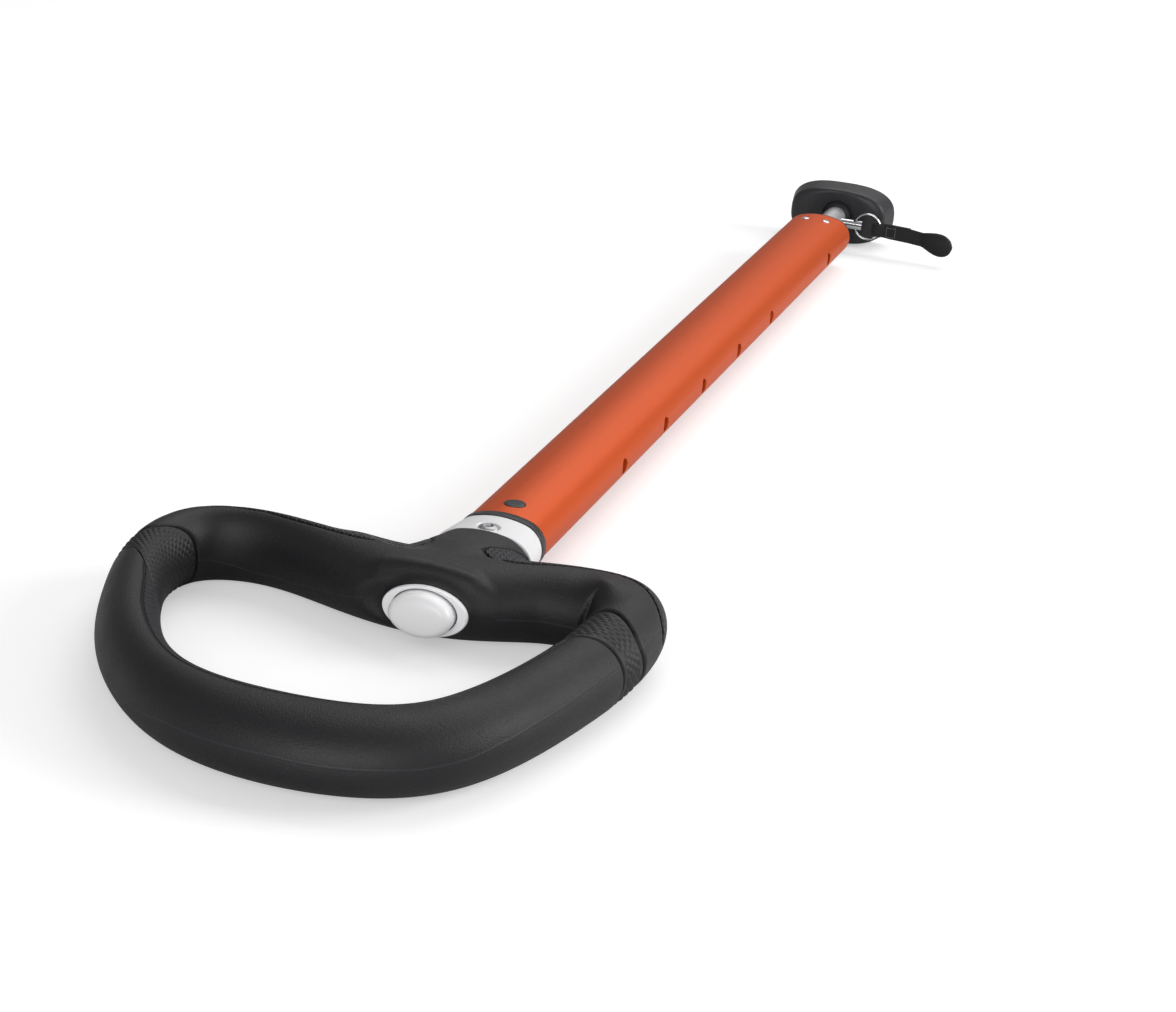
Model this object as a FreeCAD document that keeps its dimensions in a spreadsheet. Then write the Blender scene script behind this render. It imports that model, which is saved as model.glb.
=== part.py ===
import FreeCAD, Part
import math
import os
import Sketcher

# Tiller extension with a closed-loop hand grip, a telescopic oval tube and a swivelling foot.
# Millimetres. The tube runs along Y and the parts lie flat on a surface under them.
# The origin is the centre of the foot's mounting face; the hand grip is at the far negative Y.

os.makedirs("parts", exist_ok=True)
doc = FreeCAD.newDocument("TillerExtension")
Vector = FreeCAD.Vector

# Driving dimensions

SIZES = [
    ("tube_half_width", 13.5, "outer tube, across"),
    ("tube_half_height", 8.5, "outer tube, upright"),
    ("side_relief", 0.9, "how much smaller the oval's side arcs are than its half height"),
    ("tube_wall", 1.6, "outer tube"),
    ("tube_length", 397, "outer tube"),
    ("hole_pitch", 47, "from one index hole to the next"),
    ("hole_count", 5, "index holes"),
    ("first_hole", 81, "from the tube's near end to the first index hole"),
    ("hole_radius", 2.6, "index holes"),
    ("spare_hole", 36, "from the tube's far end to the spare hole"),
    ("bush_wall", 0.8, "bush between the two tubes"),
    ("bush_depth", 16, "bush inside the tube"),
    ("lip_thickness", 3.4, "bush lip outside the tube"),
    ("rim_thickness", 1.4, "plug rim outside the tube"),
    ("rim_inset", 0.2, "plug rim inside the tube's outline"),
    ("lip_rise", 0.35, "bush lip beyond the tube's outside"),
    ("pip_radius", 3.4, "snap pips of the bush"),
    ("pip_rise", 0.1, "snap pips beyond the tube"),
    ("pip_set", 9.4, "from the tube's near end to the pips"),
    ("slide_gap", 0.1, "running clearance of the sliding tube"),
    ("seat_gap", 0.05, "clearance of pieces that are fixed in each other"),
    ("inner_wall", 1.3, "inner tube"),
    ("inner_reach", 17, "inner tube past the latch"),
    ("socket_depth", 29.2, "inner tube inside the hub"),
    ("block_pin_radius", 1.5, "rolled pin of the latch block"),
    ("block_pin_set", 6, "rolled pin from the inner tube's far end"),
    ("collar_length", 15.2, "white collar"),
    ("collar_rise", 0.4, "collar beyond the tube, at the bush"),
    ("collar_step", 0.1, "collar below the neck, where they meet"),
    ("collar_screw_set", 4.1, "collar screw from the end of the neck"),
    ("neck_rise", 1.1, "hub neck beyond the tube, upright"),
    ("neck_spread", 2.4, "hub neck beyond the tube, across"),
    ("screw_radius", 2.0, "collar screw shank"),
    ("screw_reach", 5.2, "collar screw shank below its head"),
    ("screw_seat", 0.3, "collar screw's head above the tube's top"),
    ("screw_head_radius", 3.2, "collar screw head"),
    ("screw_head_height", 1.7, "collar screw head"),
    ("screw_rim", 0.4, "straight edge of the collar screw's head"),
    ("screw_crown", 0.62, "top of the collar screw's head, as a share of its radius"),
    ("hexagon_radius", 1.4, "socket of the collar screw, over its corners"),
    ("hexagon_depth", 1.3, "socket of the collar screw"),
    ("hub_set", 28.2, "from the end of the neck to the middle of the hub"),
    ("grip_depth", 113, "from the middle of the hub to the middle of the near bar"),
    ("reach_right", 55.5, "grip's centre line, from the tube's axis to the right"),
    ("reach_left", 83, "grip's centre line, from the tube's axis to the left"),
    ("grip_half_width", 10, "grip's section, in the plane of the loop"),
    ("grip_half_height", 11.5, "grip's section, upright"),
    ("skin", 2.2, "soft skin over the hard core"),
    ("neck_skin", 1.8, "soft skin above and below the neck"),
    ("band_sink", 0.3, "textured bands below the soft skin"),
    ("button_half_width", 9.7, "push button"),
    ("button_half_height", 5.8, "push button"),
    ("button_proud", 4.6, "push button beyond its bezel"),
    ("button_dome", 1.4, "crown of the push button"),
    ("button_travel", 4.5, "push button"),
    ("button_gap", 0.3, "round the push button"),
    ("bezel_half_width", 13, "button bezel"),
    ("bezel_half_height", 7.8, "button bezel"),
    ("button_rise", 1.2, "push button and bezel above the mid plane"),
    ("bezel_thickness", 1.6, "button bezel"),
    ("bezel_set", 0.2, "bezel beyond the hub's inner wall"),
    ("bezel_spigot", 4, "bezel inside the hub"),
    ("pocket_wall", 1.6, "button pocket beyond the button"),
    ("button_flange_rise", 1.3, "button's flange beyond the button"),
    ("button_flange_thickness", 1.5, "button's flange"),
    ("pocket_depth", 14, "button pocket in the hub"),
    ("rod_radius", 2.5, "push rod"),
    ("rod_gap", 0.3, "round the push rod"),
    ("rod_socket", 4, "push rod inside the button"),
    ("blade_thickness", 2, "wedge blade of the push rod"),
    ("blade_width", 3.2, "blade beyond the slot's inner end"),
    ("blade_back", 2.3, "from the latch pin's rear to its slot"),
    ("latch_radius", 2.4, "latch pin"),
    ("latch_chamfer", 0.5, "latch pin's tip"),
    ("latch_window_gap", 0.3, "round the latch pin in the inner tube"),
    ("latch_ratio", 0.6, "latch travel for each unit of button travel"),
    ("latch_clear", 0.3, "latch tip to the outer tube's bore"),
    ("latch_spring_room", 4.3, "latch spring, relaxed in its pocket"),
    ("spring_wire", 0.5, "button spring wire, diameter"),
    ("spring_radius", 5.2, "button spring, to the middle of its wire"),
    ("latch_spring_wire", 0.3, "latch spring wire, diameter"),
    ("block_length", 30, "latch block inside the inner tube"),
    ("block_head_length", 4, "latch block's head past the inner tube"),
    ("block_wall", 0.8, "latch block behind the latch spring"),
    ("rod_bore_stop", 7.5, "from the rod's bore to the latch pin"),
    ("plug_depth", 22, "end plug inside the tube"),
    ("end_screw_set", 8, "end screws from the tube's far end"),
    ("end_screw_spread", 4.5, "end screws from the tube's axis"),
    ("end_screw_radius", 1.25, "end screws"),
    ("end_head_radius", 2.1, "end screw heads"),
    ("end_head_top", 1.4, "end screw heads, at their tops"),
    ("end_head_height", 1, "end screw heads"),
    ("end_head_lift", 0.3, "end screw heads above the curved tube"),
    ("sleeve_radius", 4.7, "metal sleeve"),
    ("sleeve_set", 18.4, "sleeve's end in front of the mounting face"),
    ("sleeve_flange_rise", 1.3, "sleeve's flange beyond the sleeve"),
    ("sleeve_flange_thickness", 2, "sleeve's flange"),
    ("stud_radius", 3.2, "ball stud's shank"),
    ("neck_radius", 2.8, "ball stud's neck"),
    ("shoulder_length", 2.1, "ball stud's shoulder"),
    ("shoulder_gap", 0.1, "ball stud's shoulder to the sleeve"),
    ("ball_radius", 5.5, "ball"),
    ("ball_set", 9, "ball centre in front of the mounting face"),
    ("ball_gap", 0.08, "running clearance of the ball and of its seat"),
    ("ball_seat_wall", 1.45, "nylon seat"),
    ("seat_mouth", 4.8, "mouth radius of the seat"),
    ("seat_back_radius", 3, "hole behind the ball in the seat"),
    ("foot_thickness", 14, "foot, along the tube"),
    ("foot_half_width", 21, "foot, across"),
    ("foot_half_height", 12, "foot, upright"),
    ("foot_edge", 1.6, "round of the foot's front edge"),
    ("plug_disc_thickness", 4.5, "seat plug"),
    ("plug_disc_wall", 2.4, "seat plug round its hollow"),
    ("foot_mouth", 6.3, "mouth radius of the foot"),
    ("dish_radius", 10.5, "dish round the mouth"),
    ("foot_to_tube", 46, "from the mounting face to the tube's far end"),
    ("pin_set", 22, "release pin in front of the mounting face"),
    ("pin_radius", 2.0, "release pin"),
    ("pin_out", 13.4, "release pin's ringed end from the tube's axis"),
    ("pin_in", 6.6, "release pin's other end from the tube's axis"),
    ("pin_chamfer", 0.6, "release pin's plain end"),
    ("pin_eye_radius", 1.2, "hole in the pin for the ring"),
    ("pin_eye_set", 2.95, "hole in the pin from its end"),
    ("ring_radius", 5.5, "split ring, to the middle of its wire"),
    ("ring_wire", 0.6, "split ring, wire radius"),
    ("ring_slack", 0.15, "ring's wire to the middle of the pin's hole"),
    ("tab_half_width", 2.9, "webbing tab"),
    ("tab_thickness", 1.2, "webbing tab"),
    ("tab_eye_gap", 1.3, "half the gap in the tab's eye"),
    ("tab_eye_slack", 0.4, "back of the tab's eye to the ring"),
    ("tab_fold", 27.5, "end of the folded part from the tube's axis"),
    ("tab_strip", 42, "end of the strip from the tube's axis"),
    ("tab_end_length", 13, "thick end of the tab"),
    ("tab_end_half_height", 4.9, "thick end of the tab"),
    ("tab_drop", 0.8, "webbing tab below the ring's centre"),
    ("tab_end_half_thick", 2.6, "thick end of the tab"),
    ("tab_end_drop", 1.92, "thick end of the tab below the ring's centre"),
    ("tab_end_grip", 2.5, "strip inside the thick end"),
    ("insert_spacing", 28, "between the foot's two threaded inserts"),
    ("insert_radius", 3.1, "threaded inserts"),
    ("insert_bore", 2.1, "threaded inserts"),
    ("insert_depth", 8, "threaded inserts"),
]

sheet = doc.addObject("Spreadsheet::Sheet", "Sizes")
for row, (alias, number, note) in enumerate(SIZES, start=1):
    sheet.set("A%d" % row, note)
    sheet.set("B%d" % row, str(number))
    sheet.setAlias("B%d" % row, alias)
doc.recompute()


def value(expression):
    """The number that an expression in the sheet's names comes to."""
    return float(sheet.evalExpression(str(expression)))


def of_size(name):
    """The expression that reads one size from the sheet."""
    return "Sizes." + name


nodes = {}


def node(name, thing):
    """Keeps a finished piece under its own name."""
    thing.Label = name
    nodes[name] = thing
    return thing


# Places along the tube's axis, all measured from the foot's mounting face

tube_far = "(-Sizes.foot_to_tube)"
tube_near = "(%s - Sizes.tube_length)" % tube_far
lip_face = "(%s - Sizes.lip_thickness)" % tube_near
neck_end = "(%s - Sizes.collar_length)" % lip_face
hub_middle = "(%s - Sizes.hub_set)" % neck_end
latch_y = "(%s + Sizes.first_hole + (Sizes.hole_count - 1) * Sizes.hole_pitch)" % tube_near
pin_y = "(-Sizes.pin_set)"
ball_y = "(-Sizes.ball_set)"

past = "2"  # how far a cutting tool reaches beyond what it cuts
through = "20"  # half the length of a tool that cuts right through a small piece

# How far each nested oval lies inside the outer tube's outline

bore = "(-Sizes.tube_wall)"
bush_out = "(%s - Sizes.seat_gap)" % bore
bush_in = "(%s - Sizes.bush_wall)" % bore
inner_out = "(%s - Sizes.slide_gap)" % bush_in
inner_in = "(%s - Sizes.inner_wall)" % inner_out

# The oval has four tangent arcs: two small ones at its sides, two large ones above and below

side_radius = "(Sizes.tube_half_height - Sizes.side_relief)"
side_centre = "(Sizes.tube_half_width - %s)" % side_radius
crown_centre = ("((%s ^ 2 + Sizes.tube_half_height ^ 2 - %s ^ 2) / (2 * Sizes.side_relief)"
                " - Sizes.tube_half_height)") % (side_centre, side_radius)


def plane_of(body, role):
    """One of the body's own origin planes."""
    return next(f for f in body.Origin.OriginFeatures if f.Role == role)


def place(thing, x="0", y="0", z="0"):
    """Binds where the piece's own origin lies."""
    for axis, expression in (("x", x), ("y", y), ("z", z)):
        thing.setExpression("Placement.Base." + axis, str(expression))


def add_oval(sketch, grow):
    """Adds one four-arc oval, grown outwards by grow, around the sketch's origin."""
    side = value(side_radius) + value(grow)
    across = value(side_centre)
    drop = value(crown_centre)
    crown = value("Sizes.tube_half_height") + drop + value(grow)
    lean = math.atan2(drop, across)
    up = Vector(0, 0, 1)
    arcs = [
        (Vector(across, 0, 0), side, -lean, lean),
        (Vector(0, -drop, 0), crown, lean, math.pi - lean),
        (Vector(-across, 0, 0), side, math.pi - lean, math.pi + lean),
        (Vector(0, drop, 0), crown, math.pi + lean, 2 * math.pi - lean),
    ]
    first = sketch.GeometryCount
    for centre, radius, start, end in arcs:
        sketch.addGeometry(Part.ArcOfCircle(Part.Circle(centre, up, radius), start, end))
    right, top, left, bottom = range(first, first + 4)
    for one, other in ((right, top), (top, left), (left, bottom), (bottom, right)):
        sketch.addConstraint(Sketcher.Constraint("Tangent", one, 2, other, 1))
    sketch.addConstraint(Sketcher.Constraint("PointOnObject", right, 3, -1))
    sketch.addConstraint(Sketcher.Constraint("PointOnObject", left, 3, -1))
    sketch.addConstraint(Sketcher.Constraint("PointOnObject", bottom, 3, -2))
    sketch.addConstraint(Sketcher.Constraint("Equal", right, left))
    sketch.addConstraint(Sketcher.Constraint("Equal", top, bottom))
    drive(sketch, Sketcher.Constraint("DistanceX", -1, 1, right, 3, across), side_centre)
    drive(sketch, Sketcher.Constraint("DistanceY", -1, 1, bottom, 3, drop), crown_centre)
    drive(sketch, Sketcher.Constraint("Radius", right, side), "%s + %s" % (side_radius, grow))


def drive(sketch, constraint, expression):
    """Adds a size constraint and binds it to the sheet."""
    index = sketch.addConstraint(constraint)
    label = "size%d" % index
    sketch.renameConstraint(index, label)
    sketch.setExpression("Constraints." + label, expression)


def new_sketch(body, role="XZ_Plane"):
    """A sketch on one of the body's origin planes."""
    sketch = body.newObject("Sketcher::SketchObject", body.Name + "Sketch")
    sketch.AttachmentSupport = [(plane_of(body, role), "")]
    sketch.MapMode = "FlatFace"
    doc.recompute()
    return sketch


def oval_bar(name, y_far, length, grow, hollow=None):
    """A straight bar or tube of the oval section, from y_far towards the hand grip."""
    body = doc.addObject("PartDesign::Body", name)
    outline = new_sketch(body)
    add_oval(outline, grow)
    if hollow is not None:
        add_oval(outline, hollow)
    pad = body.newObject("PartDesign::Pad", name + "Pad")
    pad.Profile = outline
    pad.setExpression("Length", length)
    outline.Visibility = False
    place(body, y=y_far)
    doc.recompute()
    return body


AXES = {
    "x": FreeCAD.Rotation(Vector(0, 1, 0), 90),
    "-x": FreeCAD.Rotation(Vector(0, 1, 0), -90),
    "y": FreeCAD.Rotation(Vector(1, 0, 0), -90),
    "-y": FreeCAD.Rotation(Vector(1, 0, 0), 90),
    "z": FreeCAD.Rotation(),
    "-z": FreeCAD.Rotation(Vector(1, 0, 0), 180),
}


def primitive(kind, name, axis, sizes, x, y, z):
    """A primitive whose sizes and place are bound to the sheet, turned to lie along axis."""
    thing = doc.addObject("Part::" + kind, name)
    for prop, expression in sizes.items():
        thing.setExpression(prop, str(expression))
    thing.Placement.Rotation = AXES[axis]
    place(thing, x, y, z)
    return thing


def cylinder(name, axis, radius, height, x="0", y="0", z="0"):
    return primitive("Cylinder", name, axis, {"Radius": radius, "Height": height}, x, y, z)


def cone(name, axis, start, end, height, x="0", y="0", z="0"):
    sizes = {"Radius1": start, "Radius2": end, "Height": height}
    return primitive("Cone", name, axis, sizes, x, y, z)


def sphere(name, radius, x="0", y="0", z="0"):
    return primitive("Sphere", name, "z", {"Radius": radius}, x, y, z)


def box(name, across, along, upright, x, y, z="0"):
    """A box from x and y on, centred on z."""
    sizes = {"Length": across, "Width": along, "Height": upright}
    return primitive("Box", name, "z", sizes, x, y, "%s - (%s) / 2" % (z, upright))


def fused(name, *things):
    whole = doc.addObject("Part::MultiFuse", name)
    whole.Shapes = list(things)
    whole.Refine = False
    return whole


def cut(name, base, *tools):
    """The base without the tools."""
    whole = doc.addObject("Part::Cut", name)
    whole.Base = base
    whole.Tool = tools[0] if len(tools) == 1 else fused(name + "Tools", *tools)
    return whole


def common(name, one, other):
    whole = doc.addObject("Part::Common", name)
    whole.Base = one
    whole.Tool = other
    return whole


def ellipse_bar(name, half_width, half_height, y_far, length):
    """A bar of elliptic section round the push button's axis, from y_far towards the hand grip."""
    outline = doc.addObject("Part::Ellipse", name + "Outline")
    outline.setExpression("MajorRadius", half_width)
    outline.setExpression("MinorRadius", half_height)
    outline.Placement.Rotation = AXES["-y"]
    place(outline, y=y_far, z=of_size("button_rise"))
    bar = doc.addObject("Part::Extrusion", name)
    bar.Base = outline
    bar.DirMode = "Custom"
    bar.Dir = Vector(0, -1, 0)
    bar.Solid = True
    bar.setExpression("LengthFwd", length)
    return bar


# Outer tube: drawn oval aluminium tube, five index holes and a spare one in its right side

tube_body = oval_bar("OuterTube", tube_far, "Sizes.tube_length", "0", bore)


def side_hole(body, label, distance):
    """A round hole through the right wall, at a distance from the tube's far end."""
    sketch = body.newObject("Sketcher::SketchObject", label + "Sketch")
    sketch.AttachmentSupport = [(plane_of(body, "YZ_Plane"), "")]
    sketch.MapMode = "FlatFace"
    doc.recompute()
    middle = Vector(-value(distance), 0, 0)
    circle = Part.Circle(middle, Vector(0, 0, 1), value("Sizes.hole_radius"))
    index = sketch.addGeometry(circle)
    sketch.addConstraint(Sketcher.Constraint("PointOnObject", index, 3, -1))
    drive(sketch, Sketcher.Constraint("DistanceX", index, 3, -1, 1, -middle.x), distance)
    drive(sketch, Sketcher.Constraint("Radius", index, circle.Radius), "Sizes.hole_radius")
    pocket = body.newObject("PartDesign::Pocket", label)
    pocket.Profile = sketch
    pocket.Reversed = True
    pocket.setExpression("Length", "Sizes.tube_half_width * 2")
    doc.recompute()
    return pocket


solid_before = tube_body.Shape.Volume
last_hole = "(Sizes.tube_length - Sizes.first_hole - (Sizes.hole_count - 1) * Sizes.hole_pitch)"
index_hole = side_hole(tube_body, "IndexHole", last_hole)
row_of_holes = tube_body.newObject("PartDesign::LinearPattern", "IndexHoles")
row_of_holes.Originals = [index_hole]
row_of_holes.Direction = (index_hole.Profile[0], ["H_Axis"])
row_of_holes.Reversed = True
row_of_holes.setExpression("Length", "(Sizes.hole_count - 1) * Sizes.hole_pitch")
row_of_holes.setExpression("Occurrences", "Sizes.hole_count")
tube_body.Tip = row_of_holes
doc.recompute()
side_hole(tube_body, "SpareHole", "Sizes.spare_hole")
assert tube_body.Shape.Volume < solid_before - 5 * value("Sizes.hole_radius ^ 2 * Sizes.tube_wall")
pip_y = "(%s + Sizes.pip_set)" % tube_near
pip_hole = cylinder("PipHole", "z", "Sizes.pip_radius + Sizes.seat_gap", "2 * " + through,
                    y=pip_y, z="-" + through)
screw_y = "(%s - Sizes.end_screw_set)" % tube_far
screw_holes = [
    cylinder("EndScrewHole%d" % (side > 0), "z", "Sizes.end_screw_radius + Sizes.seat_gap",
             "Sizes.tube_half_height * 2", x="%d * Sizes.end_screw_spread" % side, y=screw_y)
    for side in (-1, 1)
]
node("outer_tube", cut("OuterTubeDrilled", tube_body, pip_hole, *screw_holes))

# Bush: moulded liner of the tube's near end, with a thin lip outside it and two snap pips

liner = oval_bar("BushLiner", "%s + Sizes.bush_depth" % tube_near, "Sizes.bush_depth", bush_out, bush_in)
lip = oval_bar("BushLip", tube_near, "Sizes.lip_thickness", of_size("lip_rise"), bush_in)
pip_end = "(Sizes.tube_half_height + Sizes.pip_rise)"
pip = cylinder("PipBar", "z", of_size("pip_radius"), "2 * " + pip_end, y=pip_y, z="-" + pip_end)
pip_space = oval_bar("PipSpace", "%s + Sizes.bush_depth" % tube_near, "Sizes.bush_depth", bush_in)
node("tube_bush", fused("TubeBush", liner, lip, cut("Pips", pip, pip_space)))

# End plug: moulded plug and thin rim in the tube's far end, bored for the metal sleeve

plug_rim = oval_bar("PlugRim", "%s + Sizes.rim_thickness" % tube_far, "Sizes.rim_thickness",
                    "(-Sizes.rim_inset)")
plug_stem = oval_bar("PlugStem", tube_far, "Sizes.plug_depth", bush_out)
plug_inner = "(%s - Sizes.plug_depth)" % tube_far
sleeve_hole = cylinder("SleeveHole", "y", "Sizes.sleeve_radius + Sizes.seat_gap",
                       "Sizes.plug_depth + Sizes.rim_thickness", y=plug_inner)
plug_holes = [
    cylinder("PlugScrewHole%d" % (side > 0), "z", "Sizes.end_screw_radius + Sizes.seat_gap",
             "Sizes.tube_half_height", x="%d * Sizes.end_screw_spread" % side, y=screw_y,
             z="Sizes.sleeve_radius - 2 * Sizes.seat_gap")
    for side in (-1, 1)
]
node("end_plug", cut("EndPlug", fused("PlugWhole", plug_rim, plug_stem), sleeve_hole, *plug_holes))

# End screws: two small pan-head screws through the tube's top into the plug

screws = []
for side in (-1, 1):
    mark = "%d" % (side > 0)
    x = "%d * Sizes.end_screw_spread" % side
    crown = "(sqrt((%s + Sizes.tube_half_height) ^ 2 - Sizes.end_screw_spread ^ 2) - %s)" % (
        crown_centre, crown_centre)
    head_start = "(%s + Sizes.end_head_lift)" % crown
    shank = cylinder("EndShank" + mark, "z", of_size("end_screw_radius"),
                     "%s - Sizes.sleeve_radius" % head_start, x=x, y=screw_y, z="Sizes.sleeve_radius")
    head = cone("EndHead" + mark, "z", of_size("end_head_radius"), of_size("end_head_top"),
                of_size("end_head_height"), x=x, y=screw_y, z=head_start)
    screws.append(fused("EndScrew" + mark, shank, head))
pair = doc.addObject("Part::Compound", "EndScrews")
pair.Links = screws
node("end_screws", pair)

# Metal sleeve: turned tube with a flange behind the plug, cross-drilled for the release pin

sleeve_end = "(-Sizes.sleeve_set)"
flange = cylinder("SleeveFlange", "-y", "Sizes.sleeve_radius + Sizes.sleeve_flange_rise",
                  of_size("sleeve_flange_thickness"), y=plug_inner)
sleeve_start = "(%s - Sizes.sleeve_flange_thickness / 2)" % plug_inner
sleeve_tube = cylinder("SleeveTube", "y", of_size("sleeve_radius"),
                       "%s - %s" % (sleeve_end, sleeve_start), y=sleeve_start)
sleeve_bore = cylinder("SleeveBore", "-y", "Sizes.stud_radius + Sizes.seat_gap",
                       "Sizes.foot_to_tube", y="%s + %s" % (sleeve_end, past))
cross_hole = cylinder("SleeveCross", "x", "Sizes.pin_radius + Sizes.seat_gap",
                      "2 * " + through, x="-" + through, y=pin_y)
node("end_sleeve", cut("EndSleeve", fused("SleeveWhole", flange, sleeve_tube), sleeve_bore, cross_hole))

# Ball stud: shank in the sleeve, a shoulder, a neck and the ball

stud_length = "(%s - %s - Sizes.sleeve_flange_thickness)" % (sleeve_end, tube_far)
shank = cylinder("StudShank", "-y", of_size("stud_radius"), stud_length, y=sleeve_end)
shoulder_start = "(%s + Sizes.shoulder_gap)" % sleeve_end
shoulder_end = "(%s + Sizes.shoulder_length)" % shoulder_start
shoulder = cylinder("StudShoulder", "y", of_size("sleeve_radius"), of_size("shoulder_length"),
                    y=shoulder_start)
joint = cylinder("StudJoint", "y", of_size("stud_radius"), of_size("shoulder_gap"), y=sleeve_end)
neck = cylinder("StudNeck", "y", of_size("neck_radius"), "%s - %s" % (ball_y, shoulder_end),
                y=shoulder_end)
ball = sphere("StudBall", of_size("ball_radius"), y=ball_y)
stud_cross = cylinder("StudCross", "x", "Sizes.pin_radius + Sizes.seat_gap", "2 * " + through,
                      x="-" + through, y=pin_y)
node("ball_stud", cut("BallStud", fused("StudWhole", shank, joint, shoulder, neck, ball), stud_cross))

# Ball seat: thin nylon shell that floats between the ball and the foot

seat_inner = "(Sizes.ball_radius + Sizes.ball_gap)"
seat_outer = "(%s + Sizes.ball_seat_wall)" % seat_inner
cavity = "(%s + Sizes.ball_gap)" % seat_outer
node("ball_seat", cut(
    "BallSeat",
    sphere("SeatOuter", seat_outer, y=ball_y),
    sphere("SeatInner", seat_inner, y=ball_y),
    cylinder("SeatMouth", "-y", of_size("seat_mouth"), through, y=ball_y),
    cylinder("SeatBack", "y", of_size("seat_back_radius"), through, y=ball_y)))

# Foot: moulded boat-shaped block with a dished mouth in front and a bore behind

foot_body = doc.addObject("PartDesign::Body", "FootBody")
foot_outline = new_sketch(foot_body)
half_width = value("Sizes.foot_half_width")
half_height = value("Sizes.foot_half_height")
FOOT_SHOULDER = (0.62, 0.87)  # shares of the foot's half width and half height
FOOT_CORNER = (0.862, 0.625)
FOOT_TIP = (1, 0.2)


def on_foot(shares):
    """A point of the foot's outline."""
    return Vector(half_width * shares[0], half_height * shares[1], 0)


shoulder = on_foot(FOOT_SHOULDER)
corner = on_foot(FOOT_CORNER)
tip = on_foot(FOOT_TIP)
crown = Vector(0, half_height, 0)
keel = Vector(0, -half_height, 0)


def mirrored(point):
    """The same point on the foot's other side."""
    return Vector(-point.x, point.y, 0)


for start, middle, end in (
        (mirrored(shoulder), crown, shoulder),
        (shoulder, corner, tip),
        (tip, keel, mirrored(tip)),
        (mirrored(tip), mirrored(corner), mirrored(shoulder))):
    foot_outline.addGeometry(Part.Arc(start, middle, end))
foot_pad = foot_body.newObject("PartDesign::Pad", "FootPad")
foot_pad.Profile = foot_outline
foot_pad.setExpression("Length", "Sizes.foot_thickness")
doc.recompute()
front_edges = [
    "Edge%d" % (i + 1) for i, edge in enumerate(foot_pad.Shape.Edges)
    if edge.BoundBox.YMax < -value("Sizes.foot_thickness") + 0.01
]
foot_round = foot_body.newObject("PartDesign::Fillet", "FootRound")
foot_round.Base = (foot_pad, front_edges)
foot_round.setExpression("Radius", of_size("foot_edge"))
foot_body.Tip = foot_round
doc.recompute()
foot_front = "(-Sizes.foot_thickness)"
mouth_y = "(%s - sqrt(%s ^ 2 - Sizes.foot_mouth ^ 2))" % (ball_y, cavity)
plug_thickness = of_size("plug_disc_thickness")
plug_radius = "(%s + Sizes.plug_disc_wall)" % cavity
insert_x = "Sizes.insert_spacing / 2"
node("foot", cut(
    "Foot", foot_body,
    sphere("FootCavity", cavity, y=ball_y),
    cylinder("FootBarrel", "y", cavity, of_size("ball_set"), y=ball_y),
    cylinder("FootPlugBore", "-y", "%s + Sizes.seat_gap" % plug_radius, plug_thickness),
    cone("FootDish", "y", of_size("dish_radius"), of_size("foot_mouth"),
         "%s - %s" % (mouth_y, foot_front), y=foot_front),
    cylinder("FootMouth", "y", of_size("foot_mouth"), past, y="%s - %s / 4" % (mouth_y, past)),
    cylinder("InsertHoleLeft", "-y", "Sizes.insert_radius + Sizes.seat_gap", of_size("insert_depth"),
             x="-(%s)" % insert_x),
    cylinder("InsertHoleRight", "-y", "Sizes.insert_radius + Sizes.seat_gap", of_size("insert_depth"),
             x=insert_x)))

# Seat plug: round disc let into the foot's back, hollowed for the seat

node("seat_plug", cut(
    "SeatPlug",
    cylinder("SeatPlugDisc", "-y", plug_radius, plug_thickness),
    sphere("SeatPlugHollow", cavity, y=ball_y)))

# Threaded inserts: two brass bushes in the foot's back for the fixing screws

inserts = []
for side in (-1, 1):
    mark = "%d" % (side > 0)
    x = "%d * %s" % (side, insert_x)
    whole = cylinder("InsertBody" + mark, "-y", of_size("insert_radius"), of_size("insert_depth"), x=x)
    hole = cylinder("InsertBore" + mark, "-y", of_size("insert_bore"),
                    "Sizes.insert_depth - 1", x=x)
    inserts.append(cut("Insert" + mark, whole, hole))
insert_pair = doc.addObject("Part::Compound", "FootInserts")
insert_pair.Links = inserts
node("foot_inserts", insert_pair)

# Release pin: stainless pin through the sleeve, with a rounded end and a hole for the ring

pin_length = "(Sizes.pin_out + Sizes.pin_in)"
pin_start = "(-Sizes.pin_in + Sizes.pin_chamfer)"
pin_bar = cylinder("PinBar", "x", of_size("pin_radius"), "%s - Sizes.pin_chamfer" % pin_length,
                   x=pin_start, y=pin_y)
pin_tip = cone("PinTip", "-x", of_size("pin_radius"), "Sizes.pin_radius - Sizes.pin_chamfer",
               of_size("pin_chamfer"), x=pin_start, y=pin_y)
pin_eye_x = "(Sizes.pin_out - Sizes.pin_eye_set)"
pin_eye = cylinder("PinEye", "z", of_size("pin_eye_radius"), "2 * " + through, x=pin_eye_x,
                   y=pin_y, z="-" + through)
node("release_pin", cut("ReleasePin", fused("PinWhole", pin_bar, pin_tip), pin_eye))

# Split ring: spring wire ring through the pin's hole, upright

ring_x = "(%s - Sizes.ring_slack + Sizes.ring_radius)" % pin_eye_x
ring = primitive("Torus", "SplitRing", "y",
                 {"Radius1": "Sizes.ring_radius", "Radius2": "Sizes.ring_wire"}, ring_x, pin_y, "0")
node("split_ring", ring)

# Pull tab: webbing folded round the ring and stitched to itself, then a single strip

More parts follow.
